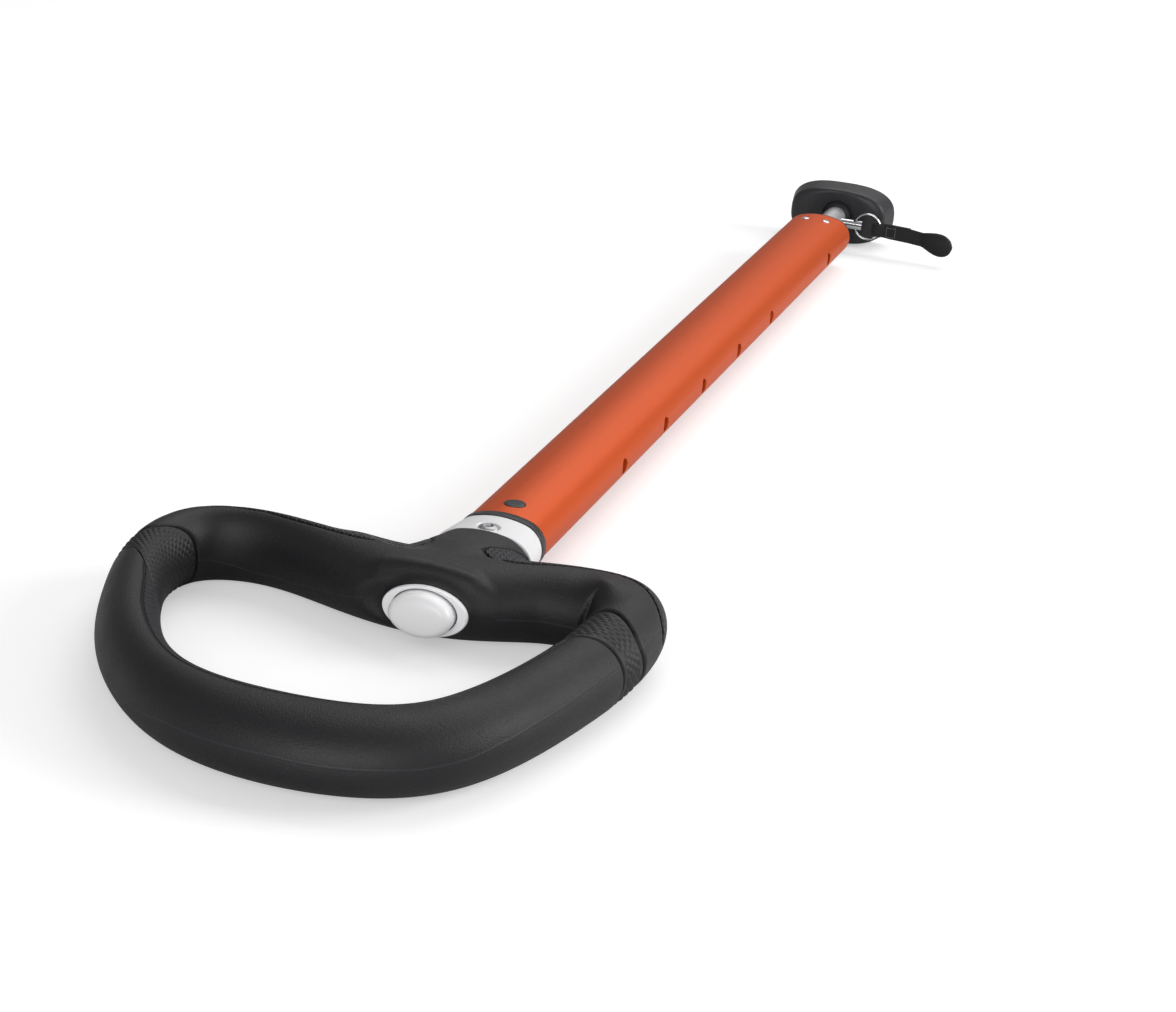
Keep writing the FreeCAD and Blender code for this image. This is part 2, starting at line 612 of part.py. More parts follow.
eye_x = "(%s + Sizes.ring_radius)" % ring_x
ring_at_edge = "sqrt(Sizes.ring_radius ^ 2 - (Sizes.tab_half_width + Sizes.tab_drop) ^ 2)"
eye_start = "(%s + %s - Sizes.ring_wire - Sizes.tab_eye_slack + Sizes.tab_eye_gap)" % (
    ring_x, ring_at_edge)
eye_end = "(%s + Sizes.tab_eye_slack / 2)" % eye_x
outer_gap = "(Sizes.tab_eye_gap + Sizes.tab_thickness)"
strap_height = "(2 * Sizes.tab_half_width)"
low = "(-Sizes.tab_half_width - Sizes.tab_drop)"
eye_outer = fused(
    "EyeOuter",
    cylinder("EyeRound", "z", outer_gap, strap_height, x=eye_start, y=pin_y, z=low),
    box("EyeSides", "%s - %s" % (eye_end, eye_start), "2 * %s" % outer_gap, strap_height,
        eye_start, "%s - %s" % (pin_y, outer_gap), "-Sizes.tab_drop"),
    cylinder("EyeFront", "z", outer_gap, strap_height, x=eye_end, y=pin_y, z=low),
    box("FoldedPart", "Sizes.tab_fold - %s" % eye_end, "2 * Sizes.tab_thickness", strap_height,
        eye_end, "%s - Sizes.tab_thickness" % pin_y, "-Sizes.tab_drop"))
eye_inner = fused(
    "EyeInner",
    cylinder("EyeHoleRound", "z", of_size("tab_eye_gap"), "2 * " + through, x=eye_start, y=pin_y,
             z="-" + through),
    box("EyeHoleSides", "%s - %s" % (eye_end, eye_start), "2 * Sizes.tab_eye_gap", "2 * " + through,
        eye_start, "%s - Sizes.tab_eye_gap" % pin_y),
    cylinder("EyeHoleFront", "z", of_size("tab_eye_gap"), "2 * " + through, x=eye_end, y=pin_y,
             z="-" + through))
strip = box("TabStrip", "Sizes.tab_strip - %s" % eye_end, of_size("tab_thickness"), strap_height,
            eye_end, "%s - Sizes.tab_thickness" % pin_y, "-Sizes.tab_drop")
node("pull_tab", cut("PullTab", fused("TabWhole", eye_outer, strip), eye_inner))

# Tab end: thick moulded end over the strip's end


def tab_end_shape():
    """An egg-shaped solid, flat through its thickness, with a slot where the strip enters."""
    length = value("Sizes.tab_end_length")
    grip = value("Sizes.tab_end_grip")
    start = value("Sizes.tab_strip") - grip
    ball_shape = Part.makeSphere(1)
    stretch = FreeCAD.Matrix()
    stretch.scale(length / 2, value("Sizes.tab_end_half_thick"), value("Sizes.tab_end_half_height"))
    egg = ball_shape.transformGeometry(stretch)
    middle_y = value(pin_y) - value("Sizes.tab_thickness") / 2
    egg.translate(Vector(start + length / 2, middle_y, -value("Sizes.tab_end_drop")))
    gap = value("Sizes.seat_gap")
    slot = Part.makeBox(grip + gap, value("Sizes.tab_thickness") + 2 * gap,
                        2 * value("Sizes.tab_half_width") + 2 * gap,
                        Vector(start, value(pin_y) - value("Sizes.tab_thickness") - gap,
                               value(low) - gap))
    return egg.cut(slot)


tab_end = doc.addObject("Part::Feature", "TabEnd")
tab_end.Shape = tab_end_shape()
node("tab_end", tab_end)

# Inner tube: thinner oval tube fixed in the hub, with a latch hole in its right side

inner_far = "(%s + Sizes.inner_reach)" % latch_y
socket_end = "(%s - Sizes.socket_depth)" % neck_end
inner_body = oval_bar("InnerTubeBar", inner_far, "%s - %s" % (inner_far, socket_end), inner_out, inner_in)
latch_window = cylinder("LatchWindow", "x", "Sizes.latch_radius + Sizes.latch_window_gap",
                        "Sizes.tube_half_width", y=latch_y)
block_pin_y = "(%s - Sizes.block_pin_set)" % inner_far
block_pin_hole = cylinder("BlockPinHole", "z", "Sizes.block_pin_radius + Sizes.seat_gap",
                          "2 * " + through, y=block_pin_y, z="-" + through)
collar_screw_y = "(%s + Sizes.collar_screw_set)" % neck_end
inner_screw_hole = cylinder("InnerScrewHole", "z", "Sizes.screw_radius + Sizes.seat_gap", through,
                            y=collar_screw_y)
node("inner_tube", cut("InnerTube", inner_body, latch_window, block_pin_hole, inner_screw_hole))

# Latch block: moulded slider in the inner tube's far end, with the latch's cross bore and a rod bore

block_head = oval_bar("BlockHead", "%s + Sizes.block_head_length" % inner_far,
                      of_size("block_head_length"), "%s - Sizes.latch_clear" % bore)
block_stem = oval_bar("BlockStem", inner_far, of_size("block_length"), "%s - Sizes.seat_gap" % inner_in)
block_near = "(%s - Sizes.block_length)" % inner_far
latch_tip = "(Sizes.tube_half_width - Sizes.tube_wall - Sizes.latch_clear)"
block_wall_x = "(Sizes.tube_half_width + %s - Sizes.seat_gap - Sizes.block_wall)" % inner_in
latch_rear = "(-(%s) + Sizes.latch_spring_room)" % block_wall_x
latch_bore = cylinder("LatchBore", "x", "Sizes.latch_radius + Sizes.seat_gap", "2 * " + through,
                      x="-(%s)" % block_wall_x, y=latch_y)
rod_bore = cylinder("RodBore", "y", "Sizes.rod_radius + Sizes.rod_gap",
                    "%s - %s - Sizes.rod_bore_stop" % (latch_y, block_near), y=block_near)
stroke = "(Sizes.button_travel * Sizes.latch_ratio)"
blade_wall = "(%s + Sizes.blade_back)" % latch_rear
blade_right = "(%s + Sizes.blade_width)" % blade_wall
blade_left = "(%s - %s - Sizes.rod_gap)" % (blade_wall, stroke)
room = "(2 * Sizes.rod_gap)"
blade_room = box("BladeRoom", "%s - %s + 2 * %s" % (blade_right, blade_left, room),
                 "%s - %s + Sizes.latch_radius + Sizes.button_travel + %s" % (latch_y, block_near, room),
                 "Sizes.blade_thickness + %s" % room, "%s - %s" % (blade_left, room), block_near)
node("latch_block", cut("LatchBlock", fused("BlockWhole", block_head, block_stem),
                        latch_bore, rod_bore, blade_room, block_pin_hole))

# Block pin: one rolled pin through the inner tube's top and bottom walls and the block

pin_half = "(Sizes.tube_half_height + %s - 2 * Sizes.seat_gap)" % inner_out
node("block_pin", cylinder("BlockPin", "z", of_size("block_pin_radius"), "2 * %s" % pin_half,
                           y=block_pin_y, z="-" + pin_half))

# Latch pin: round pin with a slot through it, which the push rod's wedge draws inwards

nose_start = "(%s - Sizes.latch_chamfer)" % latch_tip
latch_bar = cylinder("LatchBar", "x", of_size("latch_radius"), "%s - %s" % (nose_start, latch_rear),
                     x=latch_rear, y=latch_y)
latch_nose = cone("LatchNose", "x", of_size("latch_radius"), "Sizes.latch_radius - Sizes.latch_chamfer",
                  of_size("latch_chamfer"), x=nose_start, y=latch_y)
latch_slot = box("LatchSlot", "%s + %s + Sizes.latch_chamfer - %s" % (blade_right, stroke, blade_wall),
                 through, "Sizes.blade_thickness + Sizes.rod_gap", blade_wall,
                 "%s - %s / 2" % (latch_y, through))
node("latch_pin", cut("LatchPin", fused("LatchWhole", latch_bar, latch_nose), latch_slot))


def coil(name, radius, wire, length, turns, centre, axis):
    """A square-wire compression spring of straight lengths, whose ends lie within its length."""
    sides = 12
    points = [
        Vector(radius * math.cos(2 * math.pi * k / sides), radius * math.sin(2 * math.pi * k / sides),
               wire + (length - 2 * wire) * k / (sides * turns))
        for k in range(sides * turns + 1)
    ]
    path = Part.makePolygon(points)
    square = Part.makePolygon([
        Vector(radius + across * wire, 0, wire + upright * wire)
        for across, upright in ((-1, -1), (1, -1), (1, 1), (-1, 1), (-1, -1))
    ])
    spring = path.makePipeShell([square], True, False, 1)
    spring.Placement = FreeCAD.Placement(centre, AXES[axis])
    thing = doc.addObject("Part::Feature", name)
    thing.Shape = spring
    return thing


seat = value("Sizes.seat_gap")
latch_spring = coil("LatchSpring", value("Sizes.latch_radius - Sizes.latch_chamfer"),
                    value("Sizes.latch_spring_wire") / 2,
                    value("%s + %s" % (latch_rear, block_wall_x)) - 2 * seat, 4,
                    Vector(seat - value(block_wall_x), value(latch_y), 0), "x")
node("latch_spring", latch_spring)

# Handle core: hard ring and hub. The loop's centre line passes through hand-set stations.
# Each station: share of the reach to its side, share of the grip's depth, and swell of the section.

STATIONS = [
    (0.93, 0.43, 1.13),
    (1.00, 0.19, 1.13),
    (0.91, -0.03, 1.10),
    (0.47, -0.05, 1.25),
    (0.00, 0.00, 1.80),
    (-0.39, -0.015, 1.14),
    (-0.72, -0.055, 0.77),
    (-0.95, 0.02, 0.78),
    (-1.00, 0.21, 0.82),
    (-0.92, 0.44, 0.86),
    (-0.75, 0.69, 0.94),
    (-0.48, 0.90, 1.05),
    (-0.14, 1.00, 1.25),
    (0.32, 0.97, 1.30),
    (0.70, 0.81, 1.20),
]


def loop_curve():
    """The closed centre line through the stations."""
    points = []
    for across, deep, swell in STATIONS:
        reach = value("Sizes.reach_right") if across > 0 else value("Sizes.reach_left")
        points.append(Vector(across * reach, value(hub_middle) - deep * value("Sizes.grip_depth"), 0))
    curve = Part.BSplineCurve()
    curve.interpolate(Points=points, PeriodicFlag=True)
    return curve, [curve.parameter(p) for p in points]


LOOP, STOPS = loop_curve()


def along_loop(position):
    """Centre, direction and swell at a position counted in stations; halves lie between two."""
    count = len(STATIONS)
    low_stop = math.floor(position)
    share = position - low_stop
    start = STOPS[low_stop % count]
    end = STOPS[(low_stop + 1) % count]
    if end <= start:
        end += LOOP.LastParameter - LOOP.FirstParameter
    parameter = start + share * (end - start)
    if parameter > LOOP.LastParameter:
        parameter -= LOOP.LastParameter - LOOP.FirstParameter
    swells = [STATIONS[(low_stop + k) % count][2] for k in (-1, 0, 1, 2)]
    before, here, there, after = swells
    slope_in = (there - before) / 2
    slope_out = (after - here) / 2
    rise = there - here
    swell = (here + slope_in * share + (3 * rise - 2 * slope_in - slope_out) * share ** 2
             + (slope_in + slope_out - 2 * rise) * share ** 3)
    return LOOP.value(parameter), Vector(*LOOP.tangent(parameter)[0]), swell


def loop_section(position, inset):
    """The ellipse round the loop at a position, smaller by inset."""
    centre, direction, swell = along_loop(position)
    half_w = value("Sizes.grip_half_width") * swell - inset
    half_h = value("Sizes.grip_half_height") - inset
    outwards = direction.cross(Vector(0, 0, 1))
    circle = Part.Wire(Part.Circle(Vector(0, 0, 0), Vector(0, 0, 1), 1).toShape())
    frame = FreeCAD.Matrix(
        outwards.x * half_w, 0, direction.x, centre.x,
        outwards.y * half_w, 0, direction.y, centre.y,
        0, half_h, 0, centre.z,
        0, 0, 0, 1)
    return circle.transformGeometry(frame)


def loop_piece(start, end, inset):
    """The loop's solid between two positions, smaller by inset."""
    inner_stops = [n for n in range(math.ceil(start + 0.2), math.floor(end - 0.2) + 1)]
    stops = [start] + inner_stops + [end]
    return Part.makeLoft([loop_section(s, inset) for s in stops], True)


def oval_wire(half_w, half_h, y):
    """A four-arc oval across the tube's axis."""
    side = half_h - value("Sizes.side_relief")
    across = half_w - side
    drop = (across ** 2 + half_h ** 2 - side ** 2) / (2 * (half_h - side)) - half_h
    crown = half_h + drop
    lean = math.atan2(drop, across)
    back = Vector(0, -1, 0)
    arcs = []
    for x, z, radius, start, end in (
            (across, 0, side, -lean, lean),
            (0, -drop, crown, lean, math.pi - lean),
            (-across, 0, side, math.pi - lean, math.pi + lean),
            (0, drop, crown, math.pi + lean, 2 * math.pi - lean)):
        circle = Part.Circle(Vector(x, y, z), back, radius)
        circle.XAxis = Vector(1, 0, 0)
        arcs.append(Part.ArcOfCircle(circle, start, end).toShape())
    return Part.Wire(arcs)


def neck_outside():
    """The hub's neck, which flares from the collar into both arms."""
    width = value("Sizes.tube_half_width + Sizes.neck_spread")
    height = value("Sizes.tube_half_height + Sizes.neck_rise")
    full = value("Sizes.grip_half_height")
    flare = [(0, 0, height), (6, 1, full * 0.92), (11, 3, full * 0.965), (16, 6.5, full * 0.98),
             (22, 12, full * 0.985)]
    return Part.makeLoft([oval_wire(width + w, h, value(neck_end) - back) for back, w, h in flare], True)


RIGHT_BAND = (15.6, 16.2)
LEFT_BAND = (7.55, 8.55)


def plain(name, shape):
    """A piece made by code from the sheet's sizes."""
    thing = doc.addObject("Part::Feature", name)
    thing.Shape = shape
    return thing


skin = value("Sizes.skin")
sink = value("Sizes.band_sink")
ring_count = len(STATIONS)
neck_y = value(neck_end)
hub_y = value(hub_middle)
socket_y = value(socket_end)


def loop_side(start, end, inset):
    """The open side surface of the loop between two positions, and its two end outlines."""
    stops = [start] + list(range(math.ceil(start + 0.2), math.floor(end - 0.2) + 1)) + [end]
    outlines = [loop_section(stop, inset) for stop in stops]
    return Part.makeLoft(outlines, False).Faces, outlines[0], outlines[-1]


def flat_ring(outer, inner):
    """The flat ring between two outlines."""
    return Part.makeFace([outer, inner], "Part::FaceMakerBullseye")


def solid_of(faces):
    """The solid inside closed faces."""
    shell = Part.makeShell(faces)
    shell.sewShape(0.001)
    return Part.makeSolid(shell if shell.ShapeType == "Shell" else shell.Shells[0])


def oval_prism(half_w, half_h, y_far, length):
    """A straight bar of the four-arc oval."""
    return Part.Face(oval_wire(half_w, half_h, y_far)).extrude(Vector(0, -length, 0))


def ellipse_wire(half_w, half_h, y):
    """An ellipse across the tube's axis, raised like the push button."""
    circle = Part.Wire(Part.Circle(Vector(0, 0, 0), Vector(0, 0, 1), 1).toShape())
    rise = value("Sizes.button_rise")
    return circle.transformGeometry(
        FreeCAD.Matrix(half_w, 0, 0, 0, 0, 0, 1, y, 0, half_h, 0, rise, 0, 0, 0, 1))


def ellipse_prism(half_w, half_h, y_near, length):
    """A straight bar of elliptic section, from y_near towards the foot."""
    return Part.Face(ellipse_wire(half_w, half_h, y_near)).extrude(Vector(0, length, 0))


# The ring core: sunk skin seats under both grips, full size under both textured bands

arm_start = RIGHT_BAND[1] - ring_count
arm_core, arm_core_0, arm_core_1 = loop_side(arm_start, LEFT_BAND[0], skin)
left_side, left_0, left_1 = loop_side(LEFT_BAND[0], LEFT_BAND[1], sink)
bar_core, bar_core_0, bar_core_1 = loop_side(LEFT_BAND[1], RIGHT_BAND[0], skin)
right_side, right_0, right_1 = loop_side(RIGHT_BAND[0], RIGHT_BAND[1], sink)
steps = [
    flat_ring(left_0, arm_core_1),
    flat_ring(left_1, bar_core_0),
    flat_ring(right_0, bar_core_1),
    flat_ring(right_1, arm_core_0),
]
ring_core = solid_of(arm_core + left_side + bar_core + right_side + steps)
neck_w = value("Sizes.tube_half_width + Sizes.neck_spread") - skin
neck_h = value("Sizes.tube_half_height + Sizes.neck_rise - Sizes.neck_skin")
neck_core = oval_prism(neck_w, neck_h, neck_y, neck_y - hub_y)

socket_w = value("Sizes.tube_half_width + %s" % inner_out) + seat
socket_h = value("Sizes.tube_half_height + %s" % inner_out) + seat
socket = oval_prism(socket_w, socket_h, neck_y + 1, neck_y + 1 - socket_y + seat)
hub_wall_y = hub_y - value("Sizes.grip_half_width") * STATIONS[4][2]
bezel_face = hub_wall_y - value("Sizes.bezel_set")
pocket_start = bezel_face + value("Sizes.bezel_thickness")
pocket_end = pocket_start + value("Sizes.pocket_depth")
pocket_w = value("Sizes.button_half_width + Sizes.pocket_wall")
pocket_h = value("Sizes.button_half_height + Sizes.pocket_wall")
pocket = ellipse_prism(pocket_w, pocket_h, pocket_start, value("Sizes.pocket_depth"))
bezel_w = value("Sizes.bezel_half_width")
bezel_h = value("Sizes.bezel_half_height")
seat_cut = value(through)
face_seat = ellipse_prism(bezel_w + seat, bezel_h + seat, pocket_start - seat_cut, seat_cut)
rod_way = Part.makeCylinder(value("Sizes.rod_radius + Sizes.rod_gap"), socket_y - pocket_end + 3,
                            Vector(0, pocket_end - 1, 0), Vector(0, 1, 0))
node("handle_core", plain("HandleCore", ring_core.fuse(neck_core).cut([socket, pocket, face_seat, rod_way])))

# Soft skins: the near bar's grip, and the hub's grip over both arms and the neck

bar_out, bar_out_0, bar_out_1 = loop_side(LEFT_BAND[1], RIGHT_BAND[0], 0)
bar_ends = [flat_ring(bar_out_0, bar_core_0), flat_ring(bar_out_1, bar_core_1)]
node("near_grip", plain("NearGrip", solid_of(bar_out + bar_core + bar_ends)))
# The boss widens from the bezel into the hub: way back, spread across and upright
BOSS = [(0, 0.7, 0.7), (4, 2.5, 1.8), (12, 6, 2.3)]
boss = Part.makeLoft([
    ellipse_wire(bezel_w + across, bezel_h + upright, bezel_face + back)
    for back, across, upright in BOSS
], True)
hub_outside = loop_piece(arm_start, LEFT_BAND[0], 0).fuse([neck_outside(), boss])
arm_end_1 = along_loop(LEFT_BAND[0])[0]
arm_end_0 = along_loop(arm_start + ring_count)[0]
outside_faces = [
    face for face in hub_outside.Faces
    if min(face.CenterOfMass.distanceToPoint(p) for p in (arm_end_0, arm_end_1)) > 1
]
arm_out_0 = loop_section(arm_start, 0)
arm_out_1 = loop_section(LEFT_BAND[0], 0)
arm_ends = [flat_ring(arm_out_0, arm_core_0), flat_ring(arm_out_1, arm_core_1)]
hub_skin = solid_of(outside_faces + arm_core + arm_ends)
hub_skin = hub_skin.cut([neck_core, oval_prism(neck_w, neck_h, neck_y + 1, 2), face_seat, pocket])
node("hub_grip", plain("HubGrip", hub_skin))

# Collar: white flared sleeve on the inner tube, between the bush and the neck


def section_sketch(name, y, grow):
    """An oval outline across the tube's axis."""
    sketch = doc.addObject("Sketcher::SketchObject", name)
    sketch.Placement.Rotation = AXES["-y"]
    place(sketch, y=y)
    add_oval(sketch, grow)
    return sketch


near_outline = doc.addObject("Part::Feature", "CollarNear")
near_outline.Shape = oval_wire(value("Sizes.tube_half_width + Sizes.neck_spread - Sizes.collar_step"),
                               value("Sizes.tube_half_height + Sizes.neck_rise - Sizes.collar_step"),
                               neck_y)
flare = doc.addObject("Part::Loft", "CollarFlare")
flare.Sections = [section_sketch("CollarFar", lip_face, of_size("collar_rise")), near_outline]
flare.Solid = True
collar_bore = oval_bar("CollarBore", "%s + %s" % (lip_face, past),
                       "Sizes.collar_length + 2 * %s" % past, "(%s + Sizes.seat_gap)" % inner_out)
screw_seat_z = "(Sizes.tube_half_height + Sizes.screw_seat)"
screw_recess = cylinder("ScrewRecess", "z", "Sizes.screw_head_radius + Sizes.rod_gap", through,
                        y=collar_screw_y, z=screw_seat_z)
collar_hole = cylinder("CollarHole", "z", "Sizes.screw_radius + Sizes.seat_gap", through,
                       y=collar_screw_y)
node("collar", cut("Collar", flare, collar_bore, screw_recess, collar_hole))

# Collar screw: button-head screw with a hexagon socket

screw_shank = cylinder("CollarShank", "z", of_size("screw_radius"), of_size("screw_reach"),
                       y=collar_screw_y, z="%s - Sizes.screw_reach" % screw_seat_z)
screw_rim = cylinder("CollarRim", "z", of_size("screw_head_radius"), of_size("screw_rim"),
                     y=collar_screw_y, z=screw_seat_z)
screw_crown = cone("CollarCrown", "z", of_size("screw_head_radius"),
                   "Sizes.screw_head_radius * Sizes.screw_crown",
                   "Sizes.screw_head_height - Sizes.screw_rim", y=collar_screw_y,
                   z="%s + Sizes.screw_rim" % screw_seat_z)
hexagon = doc.addObject("Part::Prism", "CollarHexagon")
hexagon.Polygon = 6
hexagon.setExpression("Circumradius", of_size("hexagon_radius"))
hexagon.setExpression("Height", "Sizes.hexagon_depth + %s" % past)
place(hexagon, y=collar_screw_y, z="%s + Sizes.screw_head_height - Sizes.hexagon_depth" % screw_seat_z)
node("collar_screw", cut("CollarScrew", fused("CollarScrewWhole", screw_shank, screw_rim, screw_crown),
                         hexagon))

# Button bezel: white elliptic frame let into the hub's inner wall

face_y = "(%s - Sizes.grip_half_width * %s - Sizes.bezel_set)" % (hub_middle, STATIONS[4][2])
spigot_y = "(%s + Sizes.bezel_thickness)" % face_y
pocket_half_w = "(Sizes.button_half_width + Sizes.pocket_wall - Sizes.seat_gap)"
pocket_half_h = "(Sizes.button_half_height + Sizes.pocket_wall - Sizes.seat_gap)"
bezel_plate = ellipse_bar("BezelPlate", of_size("bezel_half_width"), of_size("bezel_half_height"),
                          spigot_y, "Sizes.bezel_thickness")
bezel_stem = ellipse_bar("BezelStem", pocket_half_w, pocket_half_h,
                         "%s + Sizes.bezel_spigot" % spigot_y, "Sizes.bezel_spigot")
bezel_hole = ellipse_bar("BezelHole", "Sizes.button_half_width + Sizes.button_gap",
                         "Sizes.button_half_height + Sizes.button_gap",
                         "%s + %s" % (spigot_y, through), "2 * " + through)
node("button_bezel", cut("ButtonBezel", fused("BezelWhole", bezel_plate, bezel_stem), bezel_hole))

# Push button: elliptic cap with a crowned front and a retaining flange behind the bezel

flange_y = "(%s + Sizes.bezel_spigot + Sizes.slide_gap)" % spigot_y
flange_end = "(%s + Sizes.button_flange_thickness)" % flange_y
button_front = "(%s - Sizes.button_proud)" % face_y
button_bar = ellipse_bar("ButtonBar", of_size("button_half_width"), of_size("button_half_height"),
                         "%s + Sizes.button_flange_thickness / 2" % flange_y,
                         "%s - %s + Sizes.button_flange_thickness" % (flange_y, button_front))
crown_radius = "((Sizes.button_half_width ^ 2 + Sizes.button_dome ^ 2) / (2 * Sizes.button_dome))"
crown_ball = cylinder("ButtonCrown", "z", crown_radius, "2 * " + through,
                      y="%s + %s" % (button_front, crown_radius), z="-" + through)
button_cap = common("ButtonCap", button_bar, crown_ball)
button_flange = ellipse_bar("ButtonFlange", "(Sizes.button_half_width + Sizes.button_flange_rise)",
                            "(Sizes.button_half_height + Sizes.button_flange_rise)",
                            flange_end, of_size("button_flange_thickness"))
rod_start = "(%s - Sizes.rod_socket)" % flange_y
rod_socket = cylinder("RodSocket", "y", "Sizes.rod_radius + Sizes.seat_gap", through, y=rod_start)
node("push_button", cut("PushButton", fused("ButtonWhole", button_cap, button_flange), rod_socket))

# Push rod: round rod through the inner tube that ends in a flat blade with a wedge

rod_end = "(%s + Sizes.blade_thickness / 2)" % block_near
rod_bar = cylinder("RodBar", "y", of_size("rod_radius"), "%s - %s" % (rod_end, rod_start), y=rod_start)
wedge_start = "(%s - Sizes.latch_radius - Sizes.button_travel - Sizes.latch_chamfer)" % latch_y
wedge_end = "(%s + Sizes.latch_radius)" % latch_y
blade_overlap = "1"
blade_across = "(%s - %s)" % (blade_right, blade_left)
blade_bar = box("BladeBar", blade_across, "%s - %s + %s" % (wedge_start, rod_end, blade_overlap),
                of_size("blade_thickness"), blade_left, "%s - %s" % (rod_end, blade_overlap))
blade_wedge = doc.addObject("Part::Wedge", "BladeWedge")
for prop, expression in {
    "Xmin": "0", "Ymin": "0", "Zmin": "0", "Z2min": "0",
    "Xmax": blade_across,
    "X2max": blade_across,
    "X2min": "(%s - %s) * Sizes.latch_ratio" % (wedge_end, wedge_start),
    "Ymax": "%s - %s" % (wedge_end, wedge_start),
    "Zmax": of_size("blade_thickness"),
    "Z2max": of_size("blade_thickness"),
}.items():
    blade_wedge.setExpression(prop, expression)
place(blade_wedge, blade_left, wedge_start, "-Sizes.blade_thickness / 2")
node("push_rod", fused("PushRod", rod_bar, blade_bar, blade_wedge))

# Button spring: between the button's flange and the floor of its pocket

spring_start = value(flange_end) + seat
button_spring = coil("ButtonSpring", value("Sizes.spring_radius"), value("Sizes.spring_wire") / 2,
                     pocket_end - seat - spring_start, 5, Vector(0, spring_start, 0), "y")
node("button_spring", button_spring)

# Every piece is checked, then written

doc.recompute()
for thing in doc.Objects:
    broken = [state for state in thing.State if state in ("Invalid", "Error")]
    assert not broken, "%s: %s" % (thing.Name, broken)
for name, thing in nodes.items():
    shape = thing.Shape
    assert not shape.isNull() and shape.isValid(), name
    shape.exportStep("parts/%s.step" % name)
    print("%-14s %d %9.1f  %s" % (name, len(shape.Solids), shape.Volume, shape.BoundBox))
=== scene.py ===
import math

import bpy
import numpy as np
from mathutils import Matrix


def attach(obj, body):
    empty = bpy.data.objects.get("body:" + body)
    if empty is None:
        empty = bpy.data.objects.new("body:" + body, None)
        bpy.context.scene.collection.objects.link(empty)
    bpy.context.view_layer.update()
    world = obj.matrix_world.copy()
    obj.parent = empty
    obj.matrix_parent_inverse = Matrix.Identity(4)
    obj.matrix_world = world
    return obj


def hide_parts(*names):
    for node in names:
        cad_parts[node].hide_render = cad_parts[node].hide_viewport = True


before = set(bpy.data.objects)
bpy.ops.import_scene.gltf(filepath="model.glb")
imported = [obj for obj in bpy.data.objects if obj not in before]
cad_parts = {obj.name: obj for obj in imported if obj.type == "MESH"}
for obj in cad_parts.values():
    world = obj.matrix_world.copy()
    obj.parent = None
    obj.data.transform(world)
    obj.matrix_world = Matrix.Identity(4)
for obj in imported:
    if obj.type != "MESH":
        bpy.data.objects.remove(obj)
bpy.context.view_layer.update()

# Camera: the photograph's view, from above the hand grip along the tube to its foot. Its place, turn
# and lens are those at which the tube's edges and index holes fall where the photograph has them.

CAMERA_PLACE = (0.261376, -1.246081, 0.331873)
CAMERA_TURN = (69.24528, -4.52787, 18.05925)
CAMERA_LENS = 91.837
FILM_WIDTH = 36
CLIP_START = 0.01

camera = bpy.data.objects.new("camera", bpy.data.cameras.new("camera"))
camera.location = CAMERA_PLACE
camera.rotation_euler = [math.radians(angle) for angle in CAMERA_TURN]
camera.data.lens = CAMERA_LENS
camera.data.sensor_width = FILM_WIDTH
camera.data.clip_start = CLIP_START
bpy.context.scene.collection.objects.link(camera)
bpy.context.scene.camera = camera

# Outer tube: the orange tube that the handle slides in, drawn from aluminium with an oval section,
# drilled and anodised. Its CAD solid has the right shape and stays, so only its finish is made
# here: satin metal with faint lines along it from drawing.

MM = 0.001


def put(tree, kind, links=(), **settings):
    """A new node. Settings are its own properties, or the values of its inputs by name."""
    made = tree.nodes.new(kind)
    for name, value in settings.items():
        if hasattr(made, name):
            setattr(made, name, value)
        else:
            made.inputs[name.replace("_", " ")].default_value = value
    for source, target in links:
        tree.links.new(source, made.inputs[target])
    return made


def math_node(tree, operation, *terms):
    """One operation on one or two terms, each a number or an output."""
    made = tree.nodes.new("ShaderNodeMath")
    made.operation = operation
    for index, term in enumerate(terms):
        if isinstance(term, (int, float)):
            made.inputs[index].default_value = term
        else:
            tree.links.new(term, made.inputs[index])
    return made.outputs[0]


def weighted(tree, start, *terms):
    """A start, with each term's value times its weight added to it."""
    total = start
    for value, weight in terms:
        total = math_node(tree, "ADD", math_node(tree, "MULTIPLY", value, weight), total)
    return total


def material(name, colour, roughness, metallic=0.0, coat=0.0):
    """A Principled material with plain values: the material, its tree and its shader."""
    made = bpy.data.materials.new(name)
    made.use_nodes = True
    tree = made.node_tree
    shader = tree.nodes["Principled BSDF"]
    shader.inputs["Base Color"].default_value = (*colour, 1)
    shader.inputs["Roughness"].default_value = roughness
    shader.inputs["Metallic"].default_value = metallic
    shader.inputs["Coat Weight"].default_value = coat
    return made, tree, shader


def add_bump(tree, shader, height, depth):
    """Lets a height in units of depth millimetres shape the shading."""
    bump = put(tree, "ShaderNodeBump", [(height, "Height")], Distance=depth * MM)
    tree.links.new(bump.outputs["Normal"], shader.inputs["Normal"])


def brushed(name, colour, roughness, lines, depth, metallic=1.0):
    """Metal with fine lines, so many in a millimetre along each axis and as deep as depth. They are
    noise on stretched coordinates, and the roughness varies with it by a fixed spread."""
    spread = 0.12
    made, tree, shader = material(name, colour, roughness, metallic)
    place = put(tree, "ShaderNodeTexCoord").outputs["Object"]
    stretched = put(tree, "ShaderNodeMapping", [(place, "Vector")])
    stretched.inputs["Scale"].default_value = [each / MM for each in lines]
    noise = put(tree, "ShaderNodeTexNoise", [(stretched.outputs["Vector"], "Vector")],
                Scale=1.0, Detail=3.0).outputs["Fac"]
    varied = weighted(tree, roughness, (math_node(tree, "SUBTRACT", noise, 0.5), spread))
    tree.links.new(varied, shader.inputs["Roughness"])
    add_bump(tree, shader, noise, depth)
    return made


FINISHES = {}


